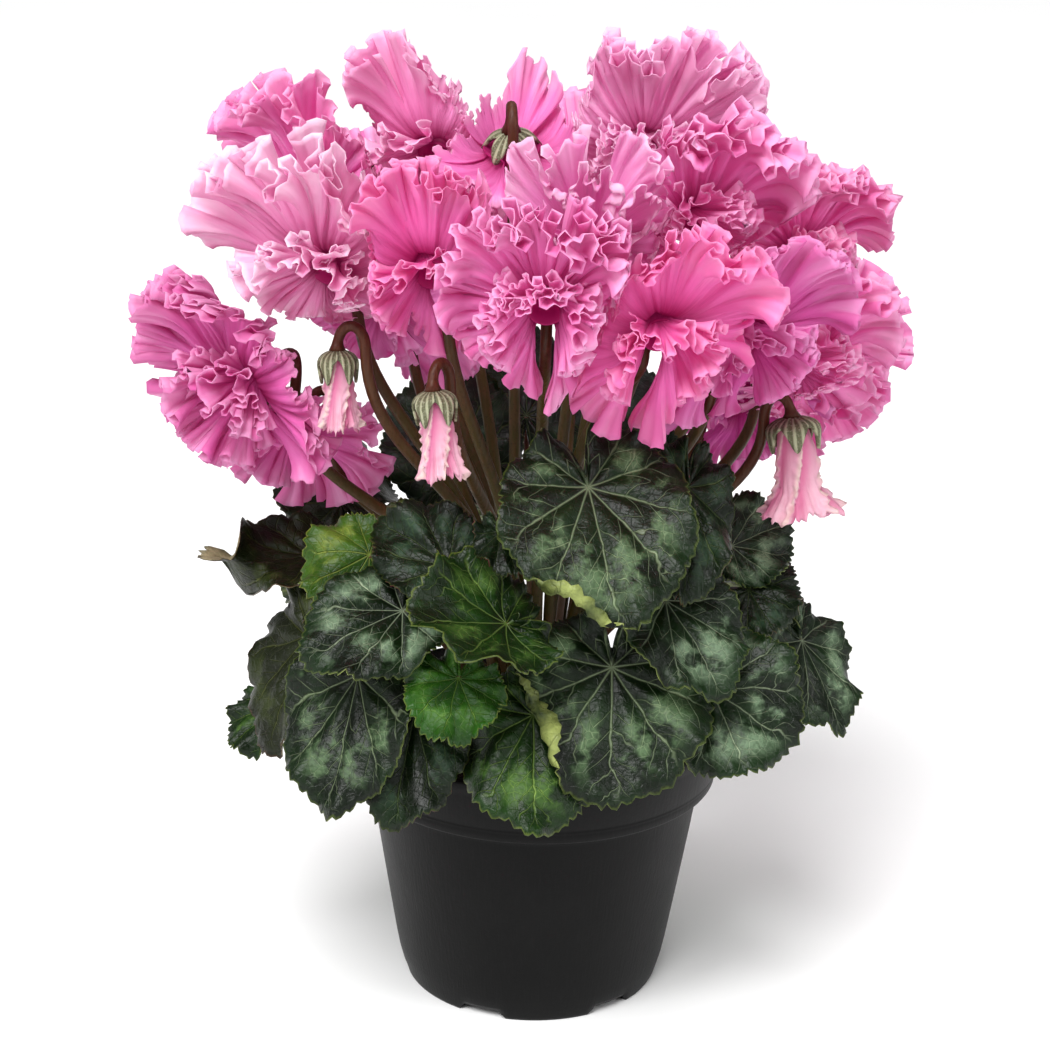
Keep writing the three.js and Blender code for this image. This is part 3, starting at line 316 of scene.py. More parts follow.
LEAVES = (
    LeafSpec("leaf_01", (14, -65, 196), (25, -102, 166), (0.1, -0.8, 0.55), 0.84, 0.16, 0.14, 2.4, 3,
        (), 0, Tone.MARBLED, fold=(0.62, 0.785)),
    LeafSpec("leaf_02", (23, -66, 138), (24, -92, 103), (0.05, -0.9, 0.35), 1, 0.1, 0.06, 3.2, 5,
        ("leaf_01",), 1, Tone.MARBLED, fold=(1.2, 0.66)),
    LeafSpec("leaf_03", (-1, -72, 124), (1, -98, 96), (0, -0.9, 0.4), 0.86, -0.12, 0.05, 2, 7,
        ("leaf_02", "leaf_04", "leaf_06"), 1, Tone.FRESH),
    LeafSpec("leaf_04", (-10, -80, 157), (-37, -100, 165), (-0.1, -0.62, 0.78), 0.95, 0.5, -0.05, 2.6, 11,
        (), 0, Tone.FRESH),
    LeafSpec("leaf_05", (-24, -78, 138), (-28, -96, 127), (0, -0.7, 0.6), 1, 0.1, 0.25, 1, 13,
        ("leaf_04",), 1, Tone.GRASS),
    LeafSpec("leaf_06", (-38, -64, 120), (-44, -84, 90), (-0.1, -0.95, 0.25), 0.72, 0.25, 0.05, 2, 17,
        ("leaf_05", "leaf_07"), 1, Tone.DEEP),
    LeafSpec("leaf_07", (-56, -60, 131), (-64, -84, 94), (-0.35, -0.85, 0.35), 0.7, 0.12, 0.05, 2.2, 19,
        ("leaf_08",), 1, Tone.MARBLED),
    LeafSpec("leaf_08", (-42, -66, 155), (-70, -84, 149), (-0.15, -0.75, 0.62), 0.78, 0.08, 0.2, 1.8, 23,
        ("leaf_04",), 0, Tone.SILVER),
    LeafSpec("leaf_09", (-53, -52, 169), (-73, -62, 163), (-0.3, -0.62, 0.7), 1.05, 0.1, 0.25, 1.8, 29,
        ("leaf_08", "leaf_10"), 0, Tone.YOUNG),
    LeafSpec("leaf_10", (-28, -62, 169), (-51, -50, 181), (-0.05, -0.75, 0.66), 0.8, 0.3, 0.1, 2.4, 31,
        ("leaf_04", "leaf_11"), 0, Tone.DEEP),
    LeafSpec("leaf_11", (-12, -70, 183), (-6, -82, 174), (0.1, -0.8, 0.6), 0.8, 0.1, 0.1, 1, 37,
        ("leaf_01",), 0, Tone.DEEP),
    LeafSpec("leaf_12", (39, -62, 159), (59, -80, 137), (0.42, -0.8, 0.42), 0.78, 0.22, 0.1, 2, 41,
        ("leaf_01",), 0, Tone.SILVER),
    LeafSpec("leaf_13", (55, -58, 128), (82, -66, 114), (0.35, -0.85, 0.38), 1.1, 0.14, 0.1, 2.6, 43,
        ("leaf_12",), 1, Tone.SILVER),
    LeafSpec("leaf_14", (88, -8, 126), (104, -22, 100), (0.65, -0.7, 0.3), 0.7, 0.1, 0.1, 1.6, 47,
        ("leaf_13",), 1, Tone.SILVER),
    LeafSpec("leaf_15", (62, -20, 163), (82, -14, 171), (0.25, -0.75, 0.6), 1, 0.2, 0.2, 1.8, 53,
        ("leaf_17", "leaf_12"), 0, Tone.SILVER),
    LeafSpec("leaf_16", (68, -25, 150), (84, -30, 145), (0.45, -0.8, 0.4), 1.2, 0.1, 0.1, 1.6, 59,
        ("leaf_15", "leaf_12", "leaf_13"), 1, Tone.DEEP),
    LeafSpec("leaf_17", (45, -50, 192), (45, -76, 164), (0.3, -0.85, 0.45), 0.55, 0.3, 0.08, 1.6, 61,
        ("leaf_01",), 0, Tone.DEEP),
    LeafSpec("leaf_18", (42, -45, 147), (46, -58, 134), (0.3, -0.85, 0.35), 0.8, 0.1, 0.1, 1, 67,
        ("leaf_01", "leaf_02", "leaf_12", "leaf_13"), 1, Tone.DEEP),
    LeafSpec("leaf_19", (33, -38, 198), (43, -44, 194), (0.2, -0.7, 0.65), 1.1, 0.15, 0.1, 1, 71,
        ("leaf_01", "leaf_17"), 0, Tone.DEEP),
    LeafSpec("leaf_20", (-76, -8, 152), (-111, -20, 148), (-0.1, -0.5, 0.85), 0.6, 0.6, -0.3, 1.4, 73,
        ("leaf_09",), 0, Tone.OLIVE, roll=2.6),
    LeafSpec("leaf_21", (-75, -30, 132), (-89, -44, 97), (-0.8, -0.6, 0.2), 0.8, 0.05, 0.08, 1.8, 79,
        ("leaf_09", "leaf_08", "leaf_07"), 1, Tone.OLIVE),
    LeafSpec("leaf_22", (-88, -8, 98), (-103, -16, 86), (-0.4, -0.6, 0.7), 0.9, 0.1, 0.1, 1, 83,
        ("leaf_21",), 1, Tone.FRESH, rise=0.5),
    LeafSpec("leaf_23", (-30, 46, 168), (-38, 66, 200), (-0.1, -0.8, 0.6), 0.9, 0.12, 0.1, 2.2, 109,
        (), 0, Tone.DEEP),
    LeafSpec("leaf_24", (22, 48, 174), (30, 68, 205), (0.1, -0.8, 0.6), 0.9, 0.12, 0.1, 2.4, 97,
        (), 0, Tone.DEEP),
    LeafSpec("leaf_25", (-14, 70, 142), (-18, 114, 116), (-0.1, 0.8, 0.5), 0.9, 0.1, 0.1, 2.4, 101,
        ("leaf_23",), 1, Tone.MARBLED),
    LeafSpec("leaf_26", (-56, 46, 142), (-90, 60, 114), (-0.6, 0.55, 0.5), 0.9, 0.1, 0.1, 2.4, 103,
        (), 1, Tone.MARBLED),
    LeafSpec("leaf_27", (66, 34, 128), (98, 50, 106), (0.55, 0.5, 0.6), 0.85, 0.1, 0.1, 2.2, 107,
        ("leaf_24",), 1, Tone.MARBLED),
    LeafSpec("leaf_28", (-6, 54, 184), (-6, 74, 212), (0, -0.8, 0.6), 0.85, 0.12, 0.1, 2, 113,
        ("leaf_23", "leaf_24"), 0, Tone.DEEP),
    LeafSpec("leaf_29", (-68, 20, 162), (-84, 32, 186), (-0.3, -0.75, 0.6), 0.85, 0.1, 0.1, 2, 127,
        ("leaf_20", "leaf_23"), 0, Tone.OLIVE),
)

BLOOMS = (
    BloomSpec("bloom_01", (29, 4, 290), (0.15, -0.75, -0.55), 2, 11, 44,
        (130, 110, 95, 110, 125), "#f9b3e0", "#fddaf2", 1.35),
    BloomSpec("bloom_02", (-36, 14, 284), (-0.2, -0.75, -0.6), 3, 12, 44,
        (125, 112, 118, 120, 130), "#f69dd4", "#fdd8f0", 1.2),
    BloomSpec("bloom_03", (-12, 2, 286), (0.05, 0.35, -1), 3, 13, 45,
        (110, 100, 120, 105, 110), "#f286cb", "#fabee2", 1.15, stem_side=(0.05, -1, 0)),
    BloomSpec("bloom_04", (-66, -42, 258), (-0.4, -0.8, -0.45), 0, 14, 45,
        (115, 105, 95, 100, 115), "#f3a4d3", "#fff0fc", 1.3),
    BloomSpec("bloom_05", (-72, 24, 268), (-0.5, -0.55, -0.65), 0, 15, 44,
        (122, 112, 116, 116, 122), "#f58fd2", "#fac3e4", 1.3),
    BloomSpec("bloom_06", (-34, -54, 260), (-0.1, -0.85, -0.5), 1, 16, 38,
        (110, 100, 105, 100, 110), "#f27bc4", "#fab0da", 1.1),
    BloomSpec("bloom_07", (0, -82, 257), (-0.05, -0.95, -0.35), 1, 17, 35,
        (105, 95, 90, 95, 105), "#f084c9", "#f9bee5", 1.42, rise=0.75, reach=0.14),
    BloomSpec("bloom_08", (12, -52, 270), (0.05, -0.85, -0.5), 1, 18, 40,
        (120, 100, 85, 100, 120), "#f59ed9", "#fcdbf2", 1.2, rise=0.6, reach=0.2),
    BloomSpec("bloom_09", (42, -36, 274), (0.3, -0.8, -0.5), 2, 19, 40,
        (115, 105, 95, 105, 115), "#f387cc", "#fac1e6", 1.4),
    BloomSpec("bloom_10", (33, -74, 248), (0.2, -0.92, -0.4), 1, 20, 38,
        (105, 95, 85, 95, 110), "#f276c1", "#f8a9d6", 1.0, rise=0.8, reach=0.12),
    BloomSpec("bloom_11", (78, 4, 256), (0.6, -0.65, -0.5), 2, 21, 33,
        (115, 105, 95, 105, 115), "#f385ca", "#fbbfe1", 1.5),
    BloomSpec("bloom_12", (78, -20, 224), (0.6, -0.7, -0.4), 2, 22, 36,
        (105, 100, 90, 100, 105), "#ed78c0", "#f9bee3", 1.4),
    BloomSpec("bloom_13", (60, -46, 240), (0.45, -0.85, -0.4), 2, 23, 36,
        (105, 95, 90, 95, 105), "#dc62b2", "#f2a8da", 1.1),
    BloomSpec("bloom_14", (-92, -32, 218), (-0.6, -0.7, -0.4), 0, 54, 41,
        (92, 96, 95, 96, 92), "#dd6ab3", "#f2aed8", 1.27, stem_side=(0.8, -0.25, -0.5)),
    BloomSpec("bloom_15", (-80, -12, 199), (-0.35, -0.8, -0.5), 0, 25, 32,
        (100, 92, 85, 92, 100), "#de6eb5", "#f1b7de", 1.1),
    BloomSpec("bloom_16", (-52, -6, 238), (-0.3, -0.8, -0.5), 0, 26, 39,
        (105, 100, 95, 100, 105), "#ee94d5", "#f3bfe6", 0.9),
    BloomSpec("bloom_17", (64, 10, 205), (0.3, -0.8, -0.5), 2, 27, 34,
        (100, 95, 90, 95, 100), "#ce54aa", "#eaa1d4", 0.8),
    BloomSpec("bloom_18", (12, 62, 258), (0, 0.7, -0.7), 4, 28, 45,
        (125, 115, 105, 115, 125), "#f388cc", "#fac1e6", 1.0, seen=False),
    BloomSpec("bloom_19", (92, 56, 204), (0.6, 0.45, -0.65), 4, 59, 42,
        (125, 115, 105, 115, 125), "#f388cc", "#fac1e6", 1.0, seen=False),
    BloomSpec("bloom_20", (-52, 60, 244), (-0.45, 0.6, -0.65), 3, 30, 43,
        (120, 110, 105, 110, 120), "#f388cc", "#fac1e6", 1.0, seen=False),
)

BUDS = (
    BudSpec("bud_1", (-63, -46, 225), (0.05, -0.15, -1), 0, 41,
        17, 5.6, stem_side=(0.9, -0.2, 0.1)),
    BudSpec("bud_2", (-32, -71, 220), (0.12, -0.1, -1), 1, 42,
        19, 6, stem_side=(0.5, 0.85, 0.1)),
    BudSpec("bud_3", (79, -31, 203), (0.15, -0.15, -1), 2, 43,
        24, 8, stem_side=(-0.9, 0.3, 0.1)),
)


def vector(values: Sequence[float]) -> Array:
    """Returns the values as a float array."""
    return np.asarray(values, float)


def unit(values: Sequence[float]) -> Array:
    """Returns the vector scaled to length one."""
    array = vector(values)
    return array / np.linalg.norm(array)


def smoothstep(x: Array | float, low: float, high: float) -> Array:
    """Returns 0 below low, 1 above high, and a smooth rise between them."""
    t = np.clip((np.asarray(x, float) - low) / (high - low), 0, 1)
    return t * t * (3 - 2 * t)


def wavy(turn: Array, *waves: tuple[float, float, Array | float]) -> Array:
    """Returns the sum of some waves, each given by its height, its count and its shift."""
    return sum(height * np.sin(count * turn + shift) for height, count, shift in waves)


def between(ends: Pair, share: float) -> float:
    """Returns the value at a share of the way from the first end to the second."""
    return ends[0] + (ends[1] - ends[0]) * share


def linear(colour: str) -> tuple[float, float, float, float]:
    """Returns a hex display colour as linear red, green, blue and alpha."""
    parts = [int(colour[i : i + 2], 16) / 255 for i in (1, 3, 5)]
    return (*(((c + 0.055) / 1.055) ** 2.4 if c > 0.04045 else c / 12.92 for c in parts), 1.0)


class SeededNumbers:
    """Even random numbers between 0 and 1 that are the same for the same seed."""

    seed_factor: ClassVar[int] = 7919
    seed_start: ClassVar[int] = 17
    factor: ClassVar[int] = 48271
    most: ClassVar[int] = 2**31 - 1

    def __init__(self, seed: int) -> None:
        """Starts the row of numbers."""
        self.state = seed * self.seed_factor + self.seed_start

    def draw(self, low: float = 0.0, high: float = 1.0) -> float:
        """Returns the next number, spread between low and high."""
        self.state = self.state * self.factor % self.most
        return low + (high - low) * self.state / self.most


def spaced(bearings: Sequence[float], spacing: float, rounds: int = 60) -> list[float]:
    """Moves bearings on a circle apart, keeping their order.

    Args:
        bearings: the wanted angles, in radians.
        spacing: the least angle between neighbours.
        rounds: how often all are looked at.

    Returns:
        The moved angles, in the order given.
    """
    order = sorted(range(len(bearings)), key=lambda i: bearings[i])
    angles = list(bearings)
    for _ in range(rounds):
        for k, here in enumerate(order):
            after = order[(k + 1) % len(order)]
            turn = 2 * math.pi if k + 1 == len(order) else 0.0
            short = spacing - (angles[after] + turn - angles[here])
            if short > 0:
                angles[here] -= short / 2
                angles[after] += short / 2
    return angles


@dataclass
class Solid:
    """Points, faces, values at the points and a material number for each face."""

    points: Array
    faces: list[list[int]]
    values: dict[str, Array] = field(default_factory=dict)
    slots: list[int] = field(default_factory=list)

    def painted(self, slot: int) -> "Solid":
        """Returns the solid with one material number on all its faces."""
        self.slots = [slot] * len(self.faces)
        return self

    def with_value(self, name: str, value: Array) -> "Solid":
        """Returns the solid with named values at its points."""
        self.values[name] = value
        return self


def joined(solids: Sequence[Solid]) -> Solid:
    """Joins several solids into one list of points and faces.

    Args:
        solids: the solids.

    Returns:
        The whole; a value that a solid lacks is 0 at its points.
    """
    names = sorted({name for solid in solids for name in solid.values})
    points, faces, slots, start = [], [], [], 0
    values: dict[str, list[Array]] = {name: [] for name in names}
    for solid in solids:
        points.append(solid.points)
        faces.extend([[i + start for i in face] for face in solid.faces])
        slots.extend(solid.slots or [0] * len(solid.faces))
        for name in names:
            values[name].append(solid.values.get(name, np.zeros((len(solid.points), 3))))
        start += len(solid.points)
    whole = {name: np.concatenate(parts) for name, parts in values.items()}
    return Solid(np.concatenate(points), faces, whole, slots)


def point_normals(points: Array, faces: Array) -> Array:
    """Finds the way that a surface looks at each point.

    Args:
        points: the points, one a row.
        faces: the four corners of each face, one face a row; a triangle repeats a corner.

    Returns:
        A unit normal for each point.
    """
    one = points[faces[:, 2]] - points[faces[:, 0]]
    two = points[faces[:, 3]] - points[faces[:, 1]]
    cross = np.cross(one, two)
    cross /= np.sqrt(np.linalg.norm(cross, axis=1, keepdims=True)) + TINY
    total = np.zeros_like(points)
    for corner in range(4):
        for axis in range(3):
            total[:, axis] += np.bincount(faces[:, corner], cross[:, axis], len(points))
    return total / (np.linalg.norm(total, axis=1, keepdims=True) + TINY)


def thickened(points: Array, faces: Array, rim: Array, thickness: Array | float) -> Solid:
    """Makes a thin closed solid on a middle surface.

    Args:
        points: the middle surface's points, one a row.
        faces: its four-sided faces, one a row; a triangle repeats a corner.
        rim: its outline's points, with the surface on their left seen from the upper face.
        thickness: one number, or one for each point.

    Returns:
        The solid. Its value "face" holds 1 on the upper side and 0 on the lower.
    """
    half = np.broadcast_to(np.asarray(thickness, float) / 2, (len(points),))[:, None]
    normals = point_normals(points, faces)
    both = np.concatenate([points + normals * half, points - normals * half])
    count = len(points)
    after = np.roll(rim, -1)
    walls = np.stack([rim, rim + count, after + count, after], 1)
    listed = [*faces.tolist(), *(faces[:, ::-1] + count).tolist(), *walls.tolist()]
    clean = [list(dict.fromkeys(face)) for face in listed]
    side = np.zeros((2 * count, 3))
    side[:count] = 1
    return Solid(both, clean).with_value("face", side)


def ring_faces(rings: int, sides: int) -> Array:
    """Makes the four-sided faces between rings of points.

    Args:
        rings: the number of rings.
        sides: the number of points in each.

    Returns:
        The faces, ring after ring.
    """
    i, j = np.meshgrid(np.arange(rings - 1), np.arange(sides), indexing="ij")
    after = (j + 1) % sides
    corners = [i * sides + j, i * sides + after, (i + 1) * sides + after, (i + 1) * sides + j]
    return np.stack(corners, -1).reshape(-1, 4)


def turned_shell(rings: Array) -> Solid:
    """Makes a closed solid from rings of points, with its first and last rings capped.

    Args:
        rings: ring, point on the ring, and x, y, z; from one end to the other.

    Returns:
        The solid.
    """
    count, sides = rings.shape[:2]
    points = np.concatenate([rings.reshape(-1, 3), rings[:1].mean(1), rings[-1:].mean(1)])
    faces = ring_faces(count, sides).tolist()
    low, high = count * sides, count * sides + 1
    for j in range(sides):
        after = (j + 1) % sides
        faces.append([low, after, j])
        faces.append([high, (count - 1) * sides + j, (count - 1) * sides + after])
    return Solid(points, faces)


def revolved(profile: Sequence[Pair], sides: int) -> Array:
    """Turns a profile round Z.

    Args:
        profile: its points, each a radius and a height.
        sides: the number of points in a ring.

    Returns:
        A ring of points for each point of the profile.
    """
    angles = np.linspace(0, 2 * math.pi, sides, endpoint=False)
    radius, height = vector(profile).T[..., None]
    return np.stack([radius * np.cos(angles), radius * np.sin(angles), height + 0 * angles], -1)


def tube(path: Array, radius: Array, sides: int) -> Solid:
    """Makes a round rod along a path.

    Args:
        path: the points of the path.
        radius: the radius at each point.
        sides: the number of sides.

    Returns:
        The solid; its value "along" runs from 0 at the start to 1 at the end.
    """
    ahead = np.gradient(path, axis=0)
    ahead /= np.linalg.norm(ahead, axis=1, keepdims=True)
    side = np.cross(ahead[0], SIDEWAYS)
    rings = []
    angles = np.linspace(0, 2 * math.pi, sides, endpoint=False)
    for point, direction, r in zip(path, ahead, radius):
        side = side - direction * side.dot(direction)
        side /= np.linalg.norm(side)
        up = np.cross(direction, side)
        rings.append(point + r * (np.outer(np.cos(angles), side) + np.outer(np.sin(angles), up)))
    solid = turned_shell(np.array(rings))
    share = np.repeat(np.linspace(0, 1, len(path)), sides)
    share = np.concatenate([share, [0, 1]])
    return solid.with_value("along", np.stack([share, share, share], 1))


def cubic(corners: Sequence[Array], steps: int) -> Array:
    """Draws a cubic curve.

    Args:
        corners: its start, two points that draw it aside, and its end.
        steps: the number of points.

    Returns:
        The points, without the start.
    """
    t = np.linspace(0, 1, steps + 1)[1:, None]
    a, b, c, d = corners
    return (1 - t) ** 3 * a + 3 * (1 - t) ** 2 * t * b + 3 * (1 - t) * t**2 * c + t**3 * d


@dataclass(frozen=True)
class Number:
    """A number made by a material's nodes, for use in plain arithmetic."""

    graph: "Graph"
    socket: Socket

    def maths(self, operation: str, *others: "Number | float") -> "Number":
        """Returns the outcome of one Math node whose first value is this number."""
        links = {0: self, **{i + 1: other for i, other in enumerate(others)}}
        return self.graph.number("ShaderNodeMath", {"operation": operation}, links)

    def __add__(self, other: "Number | float") -> "Number":
        """Returns the sum."""
        return self.maths("ADD", other)

    __radd__ = __add__

    def __sub__(self, other: "Number | float") -> "Number":
        """Returns the difference."""
        return self.maths("SUBTRACT", other)

    def __rsub__(self, other: float) -> "Number":
        """Returns the difference, with this number taken away."""
        return self.maths("MULTIPLY", -1.0) + other

    def __mul__(self, other: "Number | float") -> "Number":
        """Returns the product."""
        return self.maths("MULTIPLY", other)

    __rmul__ = __mul__

    def __truediv__(self, other: "Number | float") -> "Number":
        """Returns the quotient."""
        return self.maths("DIVIDE", other)

    def step(self, low: float, high: float) -> "Number":
        """Passes smoothly from 0 at low to 1 at high.

        Args:
            low: the value that gives 0.
            high: the value that gives 1; it may lie below low.

        Returns:
            The step.
        """
        ends = {1: low, 2: high} if low < high else {1: high, 2: low, 3: 1.0, 4: 0.0}
        settings = {"interpolation_type": "SMOOTHSTEP"}
        return self.graph.number("ShaderNodeMapRange", settings, {0: self, **ends})


class Graph:
    """The nodes of one material."""

    def __init__(self, name: str) -> None:
        """Makes an empty material.

        Args:
            name: its name.
        """
        self.material = bpy.data.materials.new(name)
        self.material.use_nodes = True
        self.tree = self.material.node_tree
        self.tree.nodes.clear()

    def node(self, kind: str, settings: dict[str, object], links: Links) -> bpy.types.Node:
        """Adds a node.

        Args:
            kind: the node's type.
            settings: its own settings, set first.
            links: for each input, by name or number, a value, a Number or a socket.

        Returns:
            The node.
        """
        node = self.tree.nodes.new(kind)
        for key, value in settings.items():
            setattr(node, key, value)
        for key, value in links.items():
            if isinstance(value, Number):
                value = value.socket
            if isinstance(value, Socket):
                self.tree.links.new(value, node.inputs[key])
            else:
                node.inputs[key].default_value = value
        return node

    def number(self, kind: str, settings: dict[str, object], links: Links, out: int | str = 0) -> Number:
        """Adds a node and returns one of its outputs as a number."""
        return Number(self, self.node(kind, settings, links).outputs[out])

    def split(self, where: Socket) -> tuple[Number, Number, Number]:
        """Returns the three values of a vector."""
        outputs = self.node("ShaderNodeSeparateXYZ", {}, {0: where}).outputs
        return tuple(Number(self, output) for output in outputs)

    def parts(self, attribute: str) -> tuple[Number, Number, Number]:
        """Returns the three values that an attribute holds at a point."""
        source = self.node("ShaderNodeAttribute", {"attribute_name": attribute}, {})
        return self.split(source.outputs["Vector"])

    def place(self) -> tuple[Number, Number, Number]:
        """Returns the place of a point in the part, in metres, as three numbers."""
        return self.split(self.spot())

    def spot(self) -> Socket:
        """Returns the place of a point in the part, in metres, as a vector."""
        return self.node("ShaderNodeTexCoord", {}, {}).outputs["Object"]

    def vector(self, x: Number | float, y: Number | float, z: Number | float) -> Socket:
        """Returns three numbers as a vector."""
        return self.node("ShaderNodeCombineXYZ", {}, {0: x, 1: y, 2: z}).outputs[0]

    def noise(self, scale: float, detail: float = 2, rough: float = 0.5, at: Socket | None = None) -> Number:
        """Returns cloudy noise between 0 and 1, for the place of a point or for another vector."""
        links = {"Vector": at or self.spot(), "Scale": scale, "Detail": detail, "Roughness": rough}
        return self.number("ShaderNodeTexNoise", {}, links)

    def cells(self, scale: float) -> Number:
        """Returns the distance to the nearest border of scattered cells."""
        links = {"Vector": self.spot(), "Scale": scale}
        return self.number("ShaderNodeTexVoronoi", {"feature": "DISTANCE_TO_EDGE"}, links, "Distance")

    def mix(self, share: Number | float, first: Paint, second: Paint) -> Socket:
        """Mixes two colours.

        Args:
            share: how much of the second there is, from 0 to 1.
            first: one colour, as a hex text or a socket.
            second: the other.

        Returns:
            The mixed colour.
        """
        ends = [linear(paint) if isinstance(paint, str) else paint for paint in (first, second)]
        links = {0: share, 6: ends[0], 7: ends[1]}
        return self.node("ShaderNodeMix", {"data_type": "RGBA"}, links).outputs[2]

    def bump(self, height: Number, distance: float, strength: float = 1.0) -> Socket:
        """Returns normals that show a height in metres times distance."""
        links = {"Strength": strength, "Distance": distance, "Height": height}
        return self.node("ShaderNodeBump", {}, links).outputs[0]

    def finished(self, glow: float = 0.0, shine: str = "#ffffff", **links: object) -> Material:
        """Ends the material in a surface shader.

        Args:
            glow: the share of the light that a thin sheet lets through.
            shine: the colour of that light.
            links: the shader's inputs, with underscores for the spaces in their names.

        Returns:
            The material.
        """
        named = {key.replace("_", " "): value for key, value in links.items()}
        surface = self.node("ShaderNodeBsdfPrincipled", {}, named)
        if glow:
            through = self.node("ShaderNodeBsdfTranslucent", {}, {"Color": linear(shine)})
            both = {0: glow, 1: surface.outputs[0], 2: through.outputs[0]}
            surface = self.node("ShaderNodeMixShader", {}, both)
        self.node("ShaderNodeOutputMaterial", {}, {"Surface": surface.outputs[0]})
        return self.material


@dataclass(frozen=True)
class PotPlastic:
    """Near-black moulded plastic, with fine lines down it and pale scuffs."""

    deep: str = "#070707"
    pale: str = "#121212"
    line: str = "#181818"
    scuff: str = "#3a3a38"

    def material(self) -> Material:
        """Makes the scuffed plastic.

        Returns:
            The material.
        """
        graph = Graph("pot_plastic")
        x, y, z = graph.place()
        around = y.maths("ARCTAN2", x)
        lines = graph.noise(60.0, detail=3.0, rough=0.6, at=graph.vector(around, 0.0, z * 2.2))
        cloud = graph.noise(34.0, detail=4.0, rough=0.62)
        fine = graph.noise(900.0)
        scratch = graph.noise(1.0, detail=4.0, rough=0.7, at=graph.vector(around * 16.0, x * 0.2, z * 260.0))
        scuffed = scratch.step(0.66, 0.76) * cloud.step(0.5, 0.66)
        colour = graph.mix(cloud.step(0.35, 0.8) * 0.5, self.deep, self.pale)
        colour = graph.mix(scuffed * 0.6, colour, self.scuff)
        colour = graph.mix(lines.step(0.5, 0.75) * 0.25, colour, self.line)
        height = lines * 0.25 + fine * 0.12 + cloud * 0.5
        return graph.finished(
            Base_Color=colour,
            Roughness=cloud * 0.2 + 0.36 + scuffed * 0.2,
            Specular_IOR_Level=0.12,
            Normal=graph.bump(height, 0.0006, 0.6),
        )


@dataclass(frozen=True)
class Peat:
    """Loose dark peat with paler crumbs and fibres."""

    dark: str = "#1d1510"
    crumb: str = "#4d3a2a"
    fibre: str = "#7b6347"

    def material(self) -> Material:
        """Makes the crumbly peat.

        Returns:
            The material.
        """
        graph = Graph("peat")
        x, y, z = graph.place()
        grain = graph.noise(420.0, detail=5.0, rough=0.7)
        lump = graph.cells(260.0)
        strand = graph.noise(500.0, at=graph.vector(x * 3.0, y * 0.4, z))
        colour = graph.mix(grain.step(0.45, 0.75), self.dark, self.crumb)
        colour = graph.mix(strand.step(0.68, 0.74) * 0.6, colour, self.fibre)
        height = grain + lump.step(0.0, 0.2)
        return graph.finished(Base_Color=colour, Roughness=0.95, Normal=graph.bump(height, 0.0015))


@dataclass(frozen=True)
class CorkSkin:
    """The tuber's rough grey-brown skin, cracked in a net."""

    deep: str = "#4a3828"
    pale: str = "#8a6f52"
    gap: str = "#2b2018"

    def material(self) -> Material:
        """Makes the cracked skin.

        Returns:
            The material.
        """
        graph = Graph("cork_skin")
        whole = graph.cells(150.0).step(0.0, 0.12)
        cloud = graph.noise(120.0, detail=5.0, rough=0.65)
        colour = graph.mix(whole, self.gap, graph.mix(cloud, self.deep, self.pale))
        return graph.finished(
            Base_Color=colour, Roughness=0.88, Normal=graph.bump(whole + cloud, 0.0012)
        )


@dataclass(frozen=True)
class StemSkin:
    """Fleshy stems: olive low down, dark red-brown above, with fine lines and specks."""

    name: str
    low: str = "#433b16"
    high: str = "#481e10"
    line: str = "#5c3a26"
    speck: str = "#1c0c0a"

    def material(self) -> Material:
        """Makes the streaked skin.

        Returns:
            The material.
        """
        graph = Graph(self.name)
        along, _, _ = graph.parts("along")
        x, y, z = graph.place()
        streak = graph.noise(900.0, detail=3.0, at=graph.vector(x, y, z * 0.12))
        cloud = graph.noise(70.0, detail=3.0)
        dots = graph.noise(1300.0, detail=1.0)
        risen = (along + (cloud - 0.5) * 0.5).step(0.2, 0.75)
        colour = graph.mix(risen, self.low, self.high)
        colour = graph.mix(streak.step(0.4, 0.7) * 0.45, colour, self.line)
        colour = graph.mix(dots.step(0.62, 0.7) * 0.35, colour, self.speck)
        return graph.finished(
            Base_Color=colour,
            Roughness=cloud * 0.2 + 0.34,
            Specular_IOR_Level=0.25,
            Normal=graph.bump(streak, 0.0003),
        )


@dataclass(frozen=True)
class CalyxSkin:
    """Downy grey-green sepals with fine dark stripes and a brown heel."""

    stripes: float = 25.0
    dark: str = "#5b5c40"
    pale: str = "#a2a485"
    heel: str = "#4a3220"
    down: str = "#b5b49c"

    def material(self) -> Material:
        """Makes the striped skin.

        Returns:
            The material.
        """
        graph = Graph("calyx_skin")
        turn, reach, _ = graph.parts("sepal")
        hairs = graph.noise(1600.0)
        stripe = (turn * self.stripes + hairs * 1.2).maths("SINE")
        colour = graph.mix(stripe.step(-0.2, 0.9), self.dark, self.pale)
        colour = graph.mix(reach.step(0.75, 0.2) * 0.4, colour, self.heel)
        colour = graph.mix(hairs.step(0.5, 0.7) * 0.35, colour, self.down)
        height = stripe * 0.4 + hairs
        return graph.finished(Base_Color=colour, Roughness=0.72, Normal=graph.bump(height, 0.0004))


